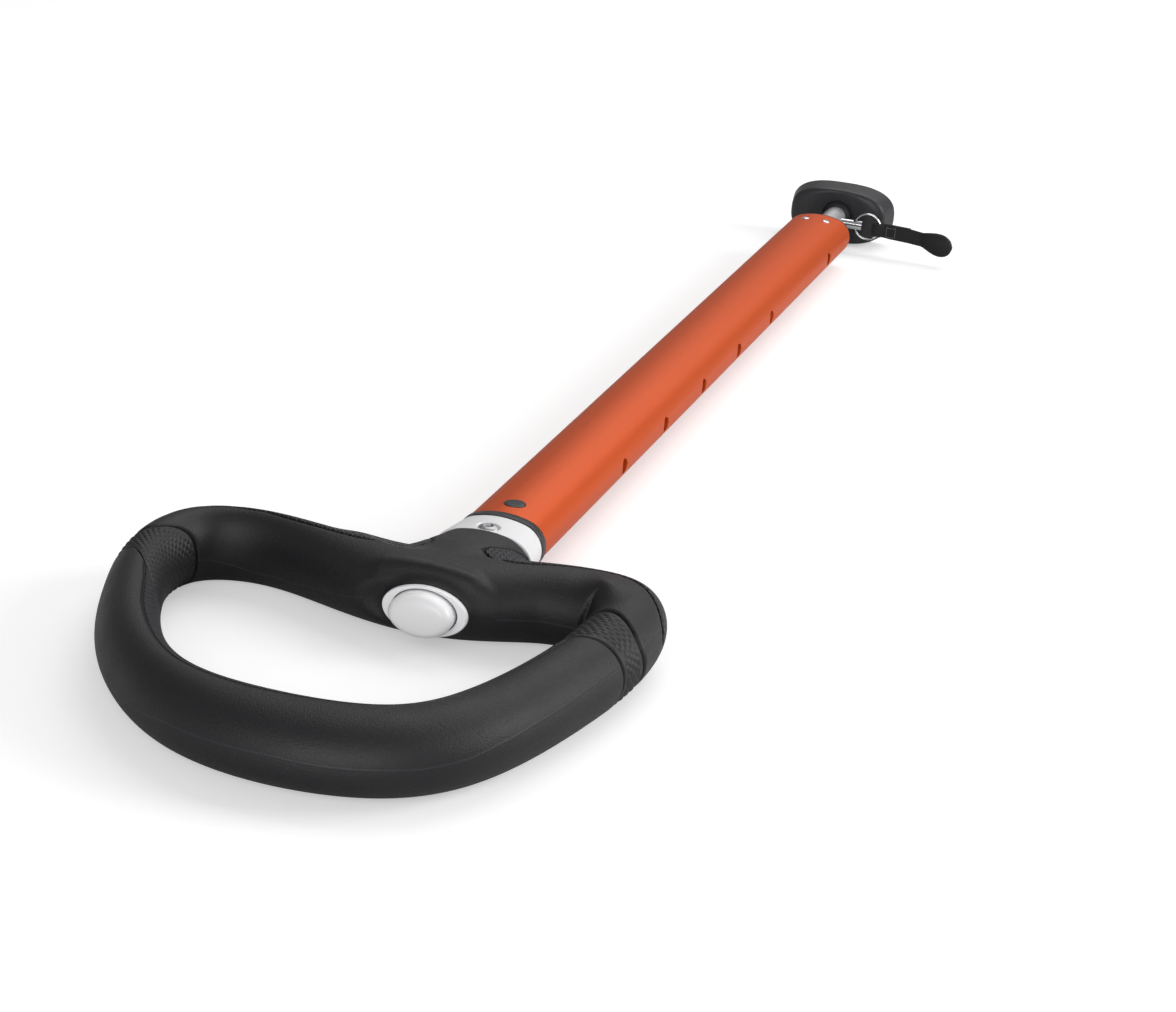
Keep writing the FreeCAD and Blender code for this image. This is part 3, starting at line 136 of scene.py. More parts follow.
def finish_slot(slot, finish):
    """Keeps the finish of one of the record's material slots, and gives it to the slot's CAD nodes."""
    FINISHES[slot] = finish
    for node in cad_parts.values():
        slots = node.data.materials
        if slots and slots[0].name.startswith(slot):
            slots.clear()
            slots.append(finish)


finish_slot("orange_tube", brushed("OrangeAnodised", colour=(0.65, 0.085, 0.004), roughness=0.46,
                                   lines=(3.0, 0.05, 3.0), depth=0.012, metallic=0.6))

# Inner tube and latch: a plain anodised oval tube, fixed in the hub, that slides in the outer one.
# The push rod, the latch, the cross pin and both springs are stainless steel, and the block that
# holds the latch is nylon. Their CAD solids stay.


def group(name, inputs, outputs):
    """An empty node group with float inputs (name, value) and named outputs."""
    tree = bpy.data.node_groups.new(name, "ShaderNodeTree")
    for label, value in inputs:
        socket = tree.interface.new_socket(label, in_out="INPUT", socket_type="NodeSocketFloat")
        socket.default_value = value
    for label in outputs:
        tree.interface.new_socket(label, in_out="OUTPUT", socket_type="NodeSocketFloat")
    return tree, tree.nodes.new("NodeGroupInput"), tree.nodes.new("NodeGroupOutput")


def grain_group():
    """Moulded grain in object space: fine noise as a height, and a roughness that a broad noise
    varies by a fixed spread. Grain Size is in millimetres."""
    spread = 0.16
    tree, given, result = group("MouldedGrain", [("Grain Size", 0.5), ("Roughness", 0.5)],
                                ["Height", "Roughness"])
    place = put(tree, "ShaderNodeTexCoord").outputs["Object"]
    scale = math_node(tree, "DIVIDE", 1 / MM, given.outputs["Grain Size"])
    fine = put(tree, "ShaderNodeTexNoise", [(place, "Vector"), (scale, "Scale")], Detail=3.0)
    broad = put(tree, "ShaderNodeTexNoise", [(place, "Vector")], Scale=60.0, Detail=2.0)
    over_half = math_node(tree, "SUBTRACT", broad.outputs["Fac"], 0.5)
    varied = weighted(tree, given.outputs["Roughness"], (over_half, spread))
    tree.links.new(fine.outputs["Fac"], result.inputs["Height"])
    tree.links.new(varied, result.inputs["Roughness"])
    return tree


GRAIN = grain_group()


def grained(name, colour, roughness, grain_size, coat=0.0, specular=0.5):
    """A moulding whose roughness varies with its grain: the material, its tree and shader, and the
    grain's height."""
    made, tree, shader = material(name, colour, roughness, coat=coat)
    shader.inputs["Specular IOR Level"].default_value = specular
    grain = put(tree, "ShaderNodeGroup", node_tree=GRAIN)
    grain.inputs["Grain Size"].default_value = grain_size
    grain.inputs["Roughness"].default_value = roughness
    tree.links.new(grain.outputs["Roughness"], shader.inputs["Roughness"])
    return made, tree, shader, grain.outputs["Height"]


def moulded(name, colour, roughness, grain_size, depth, coat=0.0, specular=0.5):
    """A moulding with grain of that size and depth in millimetres."""
    made, tree, shader, grain_height = grained(name, colour, roughness, grain_size, coat, specular)
    add_bump(tree, shader, grain_height, depth)
    return made


finish_slot("plain_aluminium", brushed("PlainAluminium", colour=(0.62, 0.62, 0.64), roughness=0.34,
                                       lines=(3.0, 0.05, 3.0), depth=0.012))
finish_slot("stainless", brushed("Stainless", colour=(0.66, 0.66, 0.67), roughness=0.16,
                                 lines=(2.0, 2.0, 2.0), depth=0.004))
finish_slot("white_nylon", moulded("WhiteNylon", colour=(0.74, 0.74, 0.72), roughness=0.45,
                                   grain_size=0.5, depth=0.006))

# Core ring: the hard black moulding that stiffens the hand loop, with the soft skins moulded over
# it. It shows only at the floor of the grooves between skins and bands, and runs through the near
# bar from one arm to the other, with its ends inside the hub's skin.

# Stations on the loop's closed centre line, each with the section's half width there. The section
# is an ellipse of one height. Places along the loop are millimetres from the first station, towards
# the tube first, and a turn is the angle from straight outwards, over the top
LOOP_STATIONS = np.array([
    (51.4, -538.4, 11.5), (55.2, -510.9, 11.5), (52.0, -484.8, 11.4), (40.0, -482.2, 13.3),
    (26.1, -484.4, 12.9), (1.0, -491.9, 16.4), (-32.4, -489.6, 11.3), (-60.5, -484.4, 7.3),
    (-78.9, -492.0, 7.6), (-83.0, -513.5, 8.2), (-76.2, -539.5, 8.5), (-62.7, -568.1, 9.2),
    (-39.7, -592.8, 9.8), (-11.7, -601.8, 13.4), (18.2, -598.5, 13.9), (37.4, -581.6, 12.8),
])
LOOP_HALF_HEIGHT = 11.5
LOOP_STEPS = 160
CORE_INSET = 1.7
CORE_START = 184
CORE_OVERLAP = 60
CORE_ROWS = 300
CORE_COLUMNS = 48


def closed_spline(stations, steps):
    """A smooth closed line through the stations: a cubic between each pair, whose bending is
    found from equal slope and bending on both sides of every station."""
    count = len(stations)
    after = np.roll(stations, -1, 0)
    span = np.sqrt(np.linalg.norm((after - stations)[:, :2], axis=1))
    before = np.roll(span, 1)
    rows = np.arange(count)
    system = np.zeros((count, count))
    system[rows, rows - 1] += before
    system[rows, rows] += 2 * (before + span)
    system[rows, (rows + 1) % count] += span
    step_out = (after - stations) / span[:, None]
    bend = np.linalg.solve(system, 6 * (step_out - np.roll(step_out, 1, 0)))
    t = np.linspace(0, 1, steps, endpoint=False)[None, :, None]
    here, there = stations[:, None], after[:, None]
    bend_in, bend_out = bend[:, None], np.roll(bend, -1, 0)[:, None]
    square = (span ** 2 / 6)[:, None, None]
    line = ((1 - t) * here + t * there
            + square * (((1 - t) ** 3 - (1 - t)) * bend_in + (t ** 3 - t) * bend_out))
    return line.reshape(-1, stations.shape[1])


LOOP = closed_spline(LOOP_STATIONS, LOOP_STEPS)
steps_along = np.linalg.norm((np.roll(LOOP, -1, 0) - LOOP)[:, :2], axis=1)
LOOP_PLACE = np.concatenate([[0.0], np.cumsum(steps_along)])
LOOP_LENGTH = LOOP_PLACE[-1]
heading = (np.roll(LOOP, -1, 0) - np.roll(LOOP, 1, 0))[:, :2]
heading /= np.linalg.norm(heading, axis=1)[:, None]
LOOP_OUTWARD = np.c_[heading[:, 1], -heading[:, 0]]


def on_loop(place):
    """Centre, outward direction and half width at places along the loop."""
    wrapped = np.mod(place, LOOP_LENGTH)

    def read(values):
        return np.interp(wrapped, LOOP_PLACE, np.append(values, values[0]))

    centre = np.stack([read(LOOP[:, 0]), read(LOOP[:, 1])], -1)
    outward = np.stack([read(LOOP_OUTWARD[:, 0]), read(LOOP_OUTWARD[:, 1])], -1)
    outward /= np.linalg.norm(outward, axis=-1, keepdims=True)
    return centre, outward, read(LOOP[:, 2])


def skin_point(place, turn, inset):
    """The point of the elliptic section at a turn, moved in by inset along the way that the
    surface faces."""
    centre, outward, half_w = on_loop(place)
    facing = np.stack([np.cos(turn) / half_w, np.sin(turn) / LOOP_HALF_HEIGHT], -1)
    facing /= np.linalg.norm(facing, axis=-1, keepdims=True)
    across = half_w * np.cos(turn) - inset * facing[..., 0]
    up = LOOP_HALF_HEIGHT * np.sin(turn) - inset * facing[..., 1]
    flat = centre + across[..., None] * outward
    return np.concatenate([flat, up[..., None]], -1)


def full_turn(columns):
    """Equal angles round a full turn, from zero."""
    return np.linspace(0, 2 * math.pi, columns, endpoint=False)


def grid_faces(rows, columns, close_rows=False):
    """Quads of a grid of points stored row by row, outwards for right-handed rows and columns. Each
    row closes on itself, and the last row can join the first."""
    r = np.arange(rows if close_rows else rows - 1)[:, None]
    c = np.arange(columns)[None, :]
    r_next = (r + 1) % rows
    c_next = (c + 1) % columns
    corners = [r * columns + c, r_next * columns + c, r_next * columns + c_next, r * columns + c_next]
    return np.stack(corners, -1).reshape(-1, 4)


def ring_skin(rings):
    """Points and faces of a skin over closed rings, with a fan of faces over each end."""
    rows, columns = rings.shape[:2]
    first = np.arange(columns)
    second = np.roll(first, -1)
    last = (rows - 1) * columns
    middle = np.full(columns, rows * columns)
    fans = [np.stack([first, second, middle], -1), np.stack([last + second, last + first, middle + 1], -1)]
    points = np.concatenate([rings.reshape(-1, 3), rings[[0, -1]].mean(1)])
    return points, grid_faces(rows, columns).tolist() + np.concatenate(fans).tolist()


def new_piece(name, points, faces, slot, body, replaced=(), finish=None, values=None, uv=None):
    """A mesh piece from points in millimetres and lists of faces: its slot, its body and the CAD
    nodes that it stands for. It has its slot's finish unless it is given one. Values are kept for
    the finish as attributes of the points."""
    mesh = bpy.data.meshes.new(name)
    mesh.from_pydata((np.asarray(points) * MM).tolist(), [], [list(map(int, face)) for face in faces])
    mesh.update()
    mesh.shade_smooth()
    for label, numbers in (values or {}).items():
        attribute = mesh.attributes.new(label, "FLOAT", "POINT")
        attribute.data.foreach_set("value", np.asarray(numbers, np.float32))
    if uv is not None:
        layer = mesh.uv_layers.new(name="UVMap")
        corner_points = np.zeros(len(mesh.loops), np.int32)
        mesh.loops.foreach_get("vertex_index", corner_points)
        layer.data.foreach_set("uv", np.asarray(uv, np.float32)[corner_points].ravel())
    mesh.materials.append(finish or FINISHES[slot])
    made = bpy.data.objects.new(name, mesh)
    bpy.context.scene.collection.objects.link(made)
    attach(made, body)
    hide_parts(*replaced)


finish_slot("textured_black", moulded("CoreBlack", colour=(0.016, 0.016, 0.018), roughness=0.5,
                                      grain_size=0.5, depth=0.02))
core_places = np.linspace(CORE_START, LOOP_LENGTH + CORE_OVERLAP, CORE_ROWS)
core_rings = skin_point(*np.meshgrid(core_places, full_turn(CORE_COLUMNS), indexing="ij"), CORE_INSET)
new_piece("core_ring", *ring_skin(core_rings), "textured_black", "handle", ["handle_core"])

# Near bar: the soft black skin moulded over the curved bar farthest from the tube, with its ends
# rolled in at both bands. A fine parting line runs along its outside, and its inside is textured
# between two grooves.

BAR_ROWS = 420
BAR_COLUMNS = 120
BAR_END_ROUND = 1.0
# How much denser the rows are at a skin's ends, and how far its underside lies inside the core
END_CROWDING = 9
BURIED = 0.2
GROOVE_HALF = 0.5
# Millimetres round the section for one radian of turn, in the skins' maps
AROUND = 10.5
# A distance at which no line shows
FAR_OFF = 9.0


def round_trip(values):
    """A smooth periodic line through values at equal steps of a full turn, as a sum of waves."""
    waves = np.fft.rfft(values) / len(values)

    def read(turn):
        total = np.full(np.shape(turn), waves[0].real)
        for k in range(1, len(waves)):
            share = 1 if 2 * k == len(values) else 2
            total = total + share * (waves[k] * np.exp(1j * k * np.asarray(turn))).real
        return total

    return read


# The places where each band meets the skins, at every eighth of a turn
BAR_EDGE_RIGHT = round_trip([13.3, 13.3, 11.9, 9.8, 9.0, 9.6, 10.8, 12.4])
ARM_EDGE_RIGHT = round_trip([26.6, 26.9, 32.0, 34.0, 33.4, 33.4, 31.6, 28.6])
ARM_EDGE_LEFT = round_trip([211.5, 211.2, 209.4, 200.4, 196.6, 196.0, 201.2, 208.4])
BAR_EDGE_LEFT = round_trip([224.9, 225.0, 229.0, 244.0, 250.0, 244.0, 230.0, 225.3])

# The parting line's height above the middle of the section, at places along the outside
SEAM_OUTSIDE = np.transpose([
    (0, 5.4), (11, 5.5), (26, 4.9), (31, 5.3), (36, 5.3), (42, 4.7), (60, 2.0), (262, -0.4), (272, -0.9),
    (281, -1.6), (288, -2.1), (296, -2.3), (308, -0.8), (317, 1.0), (333, 1.5), (346, 1.8), (357, 1.2),
    (377, 1.1), (386, 1.7), (393, 2.9), (406, 4.0), (431, 5.1),
])
# The grooves along the bar's inside: degrees of turn, over and under, at places along it
STRIP_GROOVE = np.transpose([
    (240, 112), (246, 117), (256, 116), (264, 113), (274, 111.5), (285, 108), (295, 103), (306, 98),
    (332, 100), (362, 108), (402, 114), (432, 114), (448, 112),
])
STRIP_START = 230
SCALE_CROWN = 0.7
SCALE_LEAN = 0.45


def scale_group():
    """Raised scales over a map in millimetres: staggered rows of low lenses, as a height. Across a
    row and along it a lens is one less two squares, raised to a power, and it leans to one side."""
    tree, given, result = group("ScalePattern", [("Scale Long", 2.6), ("Scale Wide", 1.5)], ["Height"])
    flat = put(tree, "ShaderNodeSeparateXYZ",
               [(put(tree, "ShaderNodeUVMap").outputs["UV"], "Vector")])
    row = math_node(tree, "DIVIDE", flat.outputs["X"], given.outputs["Scale Wide"])
    odd = math_node(tree, "FLOORED_MODULO", math_node(tree, "FLOOR", row), 2.0)
    column = math_node(tree, "DIVIDE", flat.outputs["Y"], given.outputs["Scale Long"])
    square = 0.0
    for spot in (row, weighted(tree, column, (odd, 0.5))):
        side = weighted(tree, -1.0, (math_node(tree, "FRACT", spot), 2.0))
        squared = math_node(tree, "POWER", math_node(tree, "ABSOLUTE", side), 2.0)
        square = math_node(tree, "ADD", squared, square)
    oval = math_node(tree, "MAXIMUM", math_node(tree, "SUBTRACT", 1.0, square), 0.0)
    slope = weighted(tree, 1 - SCALE_LEAN, (math_node(tree, "FRACT", row), SCALE_LEAN))
    height = math_node(tree, "MULTIPLY", math_node(tree, "POWER", oval, SCALE_CROWN), slope)
    tree.links.new(height, result.inputs["Height"])
    return tree


SCALES = scale_group()


def border_group():
    """What a border does at a distance in millimetres from its line, below zero inside: a groove
    that fades as a bell curve, and how far a place lies on the textured side, from 0 to 1."""
    start = 0.3
    fade = 0.8
    tree, given, result = group("PanelBorder", [("Distance", 1.0), ("Groove Width", 0.45)],
                                ["Groove", "Textured"])
    ratio = math_node(tree, "DIVIDE", given.outputs["Distance"], given.outputs["Groove Width"])
    square = math_node(tree, "MULTIPLY", ratio, ratio)
    groove = math_node(tree, "EXPONENT", math_node(tree, "MULTIPLY", square, -1.0))
    side = math_node(tree, "DIVIDE", math_node(tree, "ADD", given.outputs["Distance"], start), -fade)
    textured = put(tree, "ShaderNodeClamp", [(side, "Value")]).outputs["Result"]
    tree.links.new(groove, result.inputs["Groove"])
    tree.links.new(textured, result.inputs["Textured"])
    return tree


BORDER = border_group()
SKIN_BLACK = (0.009, 0.009, 0.0105)
# Millimetres that the bump rises or falls
SCALE_HEIGHT = 1.5
GRAIN_HEIGHT = 0.17
GROOVE_DEPTH = 0.7
SEAM_HEIGHT = 0.08
SEAM_WIDTH = 0.22
# Painted light and shade: shares of the skin's black that a place gains or loses, darker in the grooves as
# painted shade, lighter on the parting line and the textured panels as painted highlight
GROOVE_PAINTED_SHADE = 0.8
SEAM_PAINTED_HIGHLIGHT = 1.3
TEXTURE_PAINTED_HIGHLIGHT = 2.2


def skin_material():
    """Soft black moulding. Its points carry two distances in millimetres: panel, from the border of the
    textured panels, below zero inside them, and seam, from the parting line. Its black is darkened in the
    grooves as painted shade, and lightened on the parting line and the textured panels as painted highlight."""
    made, tree, shader, grain_height = grained("GripSkin", SKIN_BLACK, roughness=0.5, grain_size=0.45,
                                               specular=0.36)
    panel = put(tree, "ShaderNodeAttribute", attribute_name="panel").outputs["Fac"]
    seam = put(tree, "ShaderNodeAttribute", attribute_name="seam").outputs["Fac"]
    border = put(tree, "ShaderNodeGroup", [(panel, "Distance")], node_tree=BORDER)
    parting = put(tree, "ShaderNodeGroup", [(seam, "Distance")], node_tree=BORDER)
    parting.inputs["Groove Width"].default_value = SEAM_WIDTH
    groove, textured, line = border.outputs["Groove"], border.outputs["Textured"], parting.outputs["Groove"]
    pattern = put(tree, "ShaderNodeGroup", node_tree=SCALES)
    raised = math_node(tree, "MULTIPLY", pattern.outputs["Height"], textured)
    height = weighted(tree, 0.0, (raised, SCALE_HEIGHT), (grain_height, GRAIN_HEIGHT),
                      (groove, -GROOVE_DEPTH), (line, SEAM_HEIGHT))
    add_bump(tree, shader, height, 1.0)
    # Painted shade in the grooves, painted highlight on the parting line and on the textured panels' scales
    painted_light_share = weighted(tree, 1.0, (groove, -GROOVE_PAINTED_SHADE), (line, SEAM_PAINTED_HIGHLIGHT),
                         (textured, TEXTURE_PAINTED_HIGHLIGHT))
    painted_shade_mix = put(tree, "ShaderNodeMix", [(painted_light_share, "Factor")], data_type="RGBA", clamp_factor=False)
    painted_shade_mix.inputs["A"].default_value = (0, 0, 0, 1)
    painted_shade_mix.inputs["B"].default_value = (*SKIN_BLACK, 1)
    tree.links.new(painted_shade_mix.outputs["Result"], shader.inputs["Base Color"])
    return made


def rolled(distance, radius):
    """How far an edge of that radius falls away at a distance inside it: a quarter circle."""
    inside = np.clip(1 - distance / radius, 0, 1)
    return radius * (1 - np.sqrt(1 - inside ** 2))


def skin_between(start_edge, end_edge, rows, columns, end_round, sink=0.0, relief=None):
    """A closed skin between two edges that are lines over the turn, half a groove inside each. Rows
    run from edge to edge and are denser at the ends, which roll in, and the skin turns back under
    itself inside the core. It gives points, faces, places and turns."""
    turn = full_turn(columns)
    start = start_edge(turn) + GROOVE_HALF
    end = end_edge(turn) - GROOVE_HALF
    if end[0] < start[0]:
        end = end + LOOP_LENGTH
    length = end - start
    ramp = np.linspace(0, 1, rows)
    crowding = END_CROWDING * end_round / length.mean()
    share = ramp - crowding * np.sin(2 * math.pi * ramp) / (2 * math.pi)
    place = start[None, :] + share[:, None] * length[None, :]
    to_edge = np.minimum(place - start[None, :], end[None, :] - place)
    inset = sink + rolled(to_edge, end_round)
    turn_grid = np.broadcast_to(turn, place.shape)
    if relief is not None:
        inset = inset - relief(place, turn_grid, to_edge)
    points = skin_point(place, turn_grid, inset)
    under = rows // 8
    back = np.linspace(0, rows - 1, under).round().astype(int)[::-1]
    points = np.concatenate([points, skin_point(place[back], turn_grid[back], CORE_INSET + BURIED)])
    place = np.concatenate([place, place[back]])
    turn_grid = np.concatenate([turn_grid, turn_grid[back]])
    faces = grid_faces(rows + under, columns, close_rows=True)
    return points.reshape(-1, 3), faces, place.ravel(), turn_grid.ravel()


def bar_marks(place, turn, points):
    """Distances on the near bar from the grooves along its inside and from its parting line."""
    from_outside = np.degrees(np.abs((turn + math.pi) % (2 * math.pi) - math.pi))
    groove = np.interp(np.mod(place - STRIP_START, LOOP_LENGTH) + STRIP_START, *STRIP_GROOVE)
    panel = np.radians(groove - from_outside) * AROUND
    seam = points[:, 2] - np.interp(np.mod(place, LOOP_LENGTH), *SEAM_OUTSIDE)
    return {"panel": panel, "seam": np.where(np.cos(turn) > 0, seam, FAR_OFF)}


finish_slot("soft_grip", skin_material())
bar_points, bar_faces, bar_place, bar_turn = skin_between(
    BAR_EDGE_LEFT, BAR_EDGE_RIGHT, BAR_ROWS, BAR_COLUMNS, BAR_END_ROUND)
new_piece("near_bar", bar_points, bar_faces, "soft_grip", "handle", ["near_grip"],
          values=bar_marks(bar_place, bar_turn, bar_points), uv=np.c_[bar_place, bar_turn * AROUND])

# Textured bands: hard black moulding that shows between the skins at both corners of the loop, sunk
# a little below them. Its raised scales stand in staggered rows, each a low lens that rises along
# the loop.

BAND_ROWS = 110
BAND_COLUMNS = 300
BAND_END_ROUND = 0.7
BAND_SINK = 0.35
SCALE_LONG = 2.6
SCALE_WIDE = 1.7
SCALE_RISE = 0.45
SCALE_CLEAR = 1.0
SCALE_FADE = 1.2
BAND_BLACK = moulded("BandBlack", colour=(0.012, 0.012, 0.013), roughness=0.5, grain_size=0.5, depth=0.03,
                     specular=0.35)


def scale_relief(place, turn, to_edge):
    """The scales' height over a band, by the formula of their pattern in the skin: one less two
    squares, raised to a power, rising along the loop. It fades out at the band's edges."""
    row = place / SCALE_WIDE
    v = row - np.floor(row)
    u = turn * AROUND / SCALE_LONG + np.where(np.floor(row) % 2 == 0, 0.0, 0.5)
    u = u - np.floor(u)
    oval = np.clip(1 - (2 * u - 1) ** 2 - (2 * v - 1) ** 2, 0, 1)
    fade = np.clip((to_edge - SCALE_CLEAR) / SCALE_FADE, 0, 1)
    return SCALE_RISE * oval ** SCALE_CROWN * (1 - SCALE_LEAN + SCALE_LEAN * v) * fade


for side, start_edge, end_edge in (("right", BAR_EDGE_RIGHT, ARM_EDGE_RIGHT),
                                   ("left", ARM_EDGE_LEFT, BAR_EDGE_LEFT)):
    band = skin_between(start_edge, end_edge, BAND_ROWS, BAND_COLUMNS, BAND_END_ROUND, BAND_SINK,
                        scale_relief)
    new_piece("band_" + side, band[0], band[1], "textured_black", "handle", finish=BAND_BLACK)

# Hub skin: the soft black skin over both arms, the hub and its neck, one moulding over the core. It
# ends at the bands and at the collar. A scooped wall with a soft brow over it faces the hand round
# the button, and each arm has a textured panel on the side towards the tube.

HUB_STEP = 0.6
HUB_LOW = (-97, -519, -14)
HUB_HIGH = (74, -460, 14)
ARM_ENDS = (12, 226)
ARM_MIDDLE = 110
ARM_BLEND = (22.0, 9.0)
ARM_BLEND_X = (-12, 4)
INNER_BLEND = 5.0
INNER_BLEND_REACH = 7
BAND_GAP = 0.3
BAND_ROUND = 1.1
FAR_INSIDE = -50
PLAN_STEP = 0.5
PLAN_X = np.arange(-98, 76, PLAN_STEP)
PLAN_Y = np.arange(-520, -456, PLAN_STEP)

# The neck: its half width, how much wider its left side is, and its height, at distances in front
# of the end that meets the collar
NECK_END = -461.6
NECK_BACK, NECK_HALF, NECK_LEFT, NECK_HEIGHT = np.transpose([
    (0, 16.2, 0, 9.7), (6, 16.9, 0.3, 10.4), (11, 18.4, 1.2, 10.9), (16, 20.3, 2.5, 11.3),
    (22, 23.4, 3.5, 11.5), (30, 26.5, 4.0, 11.5),
])
NECK_FOOT = -497.0
NECK_FOOT_BLEND = 12.0
NECK_ROLL = 8.8
NECK_CROWN = 64
NECK_CROWN_END = 330
NECK_END_ROUND = 0.9

# The button's axis, and the nose round it: half width and half height at places along the tube
BUTTON_X = -0.7
BUTTON_Z = 0.5
NOSE_Y, NOSE_HALF, NOSE_TALL = np.transpose([
    (-506.6, 12.8, 7.4), (-504.0, 13.0, 7.5), (-501.0, 13.4, 7.7), (-498.0, 14.0, 8.0),
])
NOSE_FACE = -506.5
NOSE_FACE_ROUND = 0.8
NOSE_BACK_ROUND = 1.0
NOSE_BLEND = 2.5
POCKET_HALF = (10.8, 6.8)
POCKET_END = -492.4

# The scoop is an ellipsoid, the brow an elliptic rod over it, and the corner an upright rounding
# inside the right arm's bend
SCOOP = (21.0, 4.9, 9.3)
SCOOP_X = -3.0
SCOOP_Y = -508.0
SCOOP_ROUND = 1.3
BROW = (22.0, 9.6)
BROW_Y = -500.0
BROW_ROUND = 2.0
BROW_BLEND = 4.0
BROW_LOW = np.transpose([(-22, 6.5), (-12, 5), (10, 3), (20, 4)])
BROW_LOW_MOST = 9
BROW_SIDE = 14
BROW_SIDE_SLOPE = 0.5
BROW_SIDE_MOST = 20
CORNER = (46.4, -489.9)
CORNER_ROUND = 1.6
CORNER_SLIM = 0.24
CORNER_BLEND = 9.0

# The borders of the textured panels in plan: across the tube and along it
RIGHT_PANEL = np.transpose([
    (6, -479), (7, -480.6), (8.7, -482.0), (10.2, -482.9), (12.3, -484.0), (15.4, -485.6), (19.5, -485.4),
    (22, -484.4), (26, -482.7), (30, -481.2), (36, -479.4), (42, -478.6), (48, -479), (52, -480.8),
    (56, -483), (60, -487), (64, -492), (70, -500),
])
LEFT_PANEL = np.transpose([
    (9, -476.5), (11, -479), (14, -483), (18, -486.6), (22, -488.6), (26, -489.6), (30, -489.6), (34, -489),
    (45, -487), (60, -484), (70, -485), (78, -489), (84, -497), (92, -507),
])
PANEL_TIP = np.transpose([
    (6, -478.4), (6.3, -476.6), (7.1, -474.6), (8.8, -472.8), (10.6, -470.1), (12.1, -467), (13.3, -464.8),
    (14.5, -463.4), (30, -462),
])
LEFT_TIP_SHIFT = 4
PANEL_GROOVE_DEPTH = 0.55
PANEL_GROOVE_WIDTH = 0.62

# The parting line's height at places along the arms' inside, which stops round the nose
SEAM_INSIDE = np.transpose([
    (62, -0.9), (72, -0.9), (97, 0.0), (126, 0.0), (138, -2.1), (154, -5.0), (171, -5.8), (188, -2.4),
    (202, -1.0),
])
SEAM_OUTSIDE_END = 60
SEAM_CLEAR = 13
SEAM_CLEAR_STRETCH = 1.5

# Where the panels' map changes from the loop's places to those across the neck
NECK_MAP_HALF = 45
NECK_MAP_FADE = 15
NECK_TOP_Y = (-488.0, -480.0)
NECK_TOP_HALF = 18.0


def smooth_max(one, other, reach):
    """The larger of two, with a round of that reach where they meet."""
    near = np.clip(1 - np.abs(one - other) / reach, 0, 1)
    return np.maximum(one, other) + near * near * reach / 4


def smooth_min(one, other, reach):
    """The smaller of two, with a round of that reach where they meet."""
    return -smooth_max(-one, -other, reach)


in_arms = np.flatnonzero((LOOP_PLACE[:-1] > ARM_ENDS[0]) & (LOOP_PLACE[:-1] < ARM_ENDS[1]))[::2]
ARM_LINE = LOOP[in_arms]
ARM_PLACE = LOOP_PLACE[in_arms]


def arm_plan():
    """Over a plan grid: the distance outwards from the nearest point of the arms' centre line, the
    half width and the place there. The spots are taken in batches to save memory."""
    batches = 6
    spots = np.stack(np.meshgrid(PLAN_X, PLAN_Y, indexing="ij"), -1).reshape(-1, 2)
    nearest = np.concatenate([((some[:, None] - ARM_LINE[None, :, :2]) ** 2).sum(-1).argmin(1)
                              for some in np.array_split(spots, batches)])
    away = ((spots - ARM_LINE[nearest, :2]) * LOOP_OUTWARD[in_arms][nearest]).sum(-1)
    return [values.reshape(len(PLAN_X), len(PLAN_Y))
            for values in (away, ARM_LINE[nearest, 2], ARM_PLACE[nearest])]


ARM_PLAN = arm_plan()


def read_plan(x, y):
    """The plan's three values between its grid points."""
    u = np.clip((x - PLAN_X[0]) / PLAN_STEP, 0, len(PLAN_X) - 1.001)
    v = np.clip((y - PLAN_Y[0]) / PLAN_STEP, 0, len(PLAN_Y) - 1.001)
    i, j = u.astype(int), v.astype(int)
    a, b = u - i, v - j
    return [(1 - a) * (1 - b) * g[i, j] + a * (1 - b) * g[i + 1, j]
            + (1 - a) * b * g[i, j + 1] + a * b * g[i + 1, j + 1] for g in ARM_PLAN]


def ellipse_reach(x, z, half, tall):
    """About how far a place lies outside an ellipse round the button's axis."""
    return (np.hypot((x - BUTTON_X) / half, (z - BUTTON_Z) / tall) - 1) * tall


def panel_border(x, y):
    """How far a place in plan lies outside the textured panels of the two arms."""
    right = np.maximum.reduce([np.interp(x, *RIGHT_PANEL) - y, y - np.interp(x, *PANEL_TIP),
                               PANEL_TIP[0, 0] - x])
    left = np.maximum.reduce([np.interp(-x, *LEFT_PANEL) - y,
                              y - np.interp(-x - LEFT_TIP_SHIFT, *PANEL_TIP), LEFT_PANEL[0, 0] + x])
    return np.minimum(right, left)


def body_field(x, y, z, away, half_w):
    """About how far each point lies outside the arms and the neck. The two join in plan, and the
    depth inside that outline sets the height of a quarter ellipse over it, whose size changes from
    the arms' to the neck's. The panels' borders are grooves with a bell-shaped section."""
    back = NECK_END - y
    arm_depth = half_w - np.abs(away)
    neck_half = np.interp(back, NECK_BACK, NECK_HALF) + (x < 0) * np.interp(back, NECK_BACK, NECK_LEFT)
    neck_depth = smooth_min(neck_half - np.abs(x), y - NECK_FOOT, NECK_FOOT_BLEND)
    more = 0.5 + 0.5 * np.sin(np.clip(away / INNER_BLEND_REACH, -1, 1) * math.pi / 2)
    blend = INNER_BLEND + (np.interp(x, ARM_BLEND_X, ARM_BLEND) - INNER_BLEND) * more
    depth = smooth_max(arm_depth, neck_depth, blend)
    share = np.clip((neck_depth - arm_depth) / blend + 0.5, 0, 1)
    share = share * share * (3 - 2 * share)
    roll = half_w + (NECK_ROLL - half_w) * share
    neck_height = np.interp(back, NECK_BACK, NECK_HEIGHT) - np.minimum(x * x, NECK_CROWN_END) / NECK_CROWN
    tall = LOOP_HALF_HEIGHT + (neck_height - LOOP_HALF_HEIGHT) * share
    across = np.maximum(roll - depth, 0) / roll
    outside = (np.hypot(across, z / tall) - 1) * np.minimum(roll, tall)
    groove = PANEL_GROOVE_DEPTH * np.exp(-(panel_border(x, y) / PANEL_GROOVE_WIDTH) ** 2)
    return outside + groove * (z > 0)


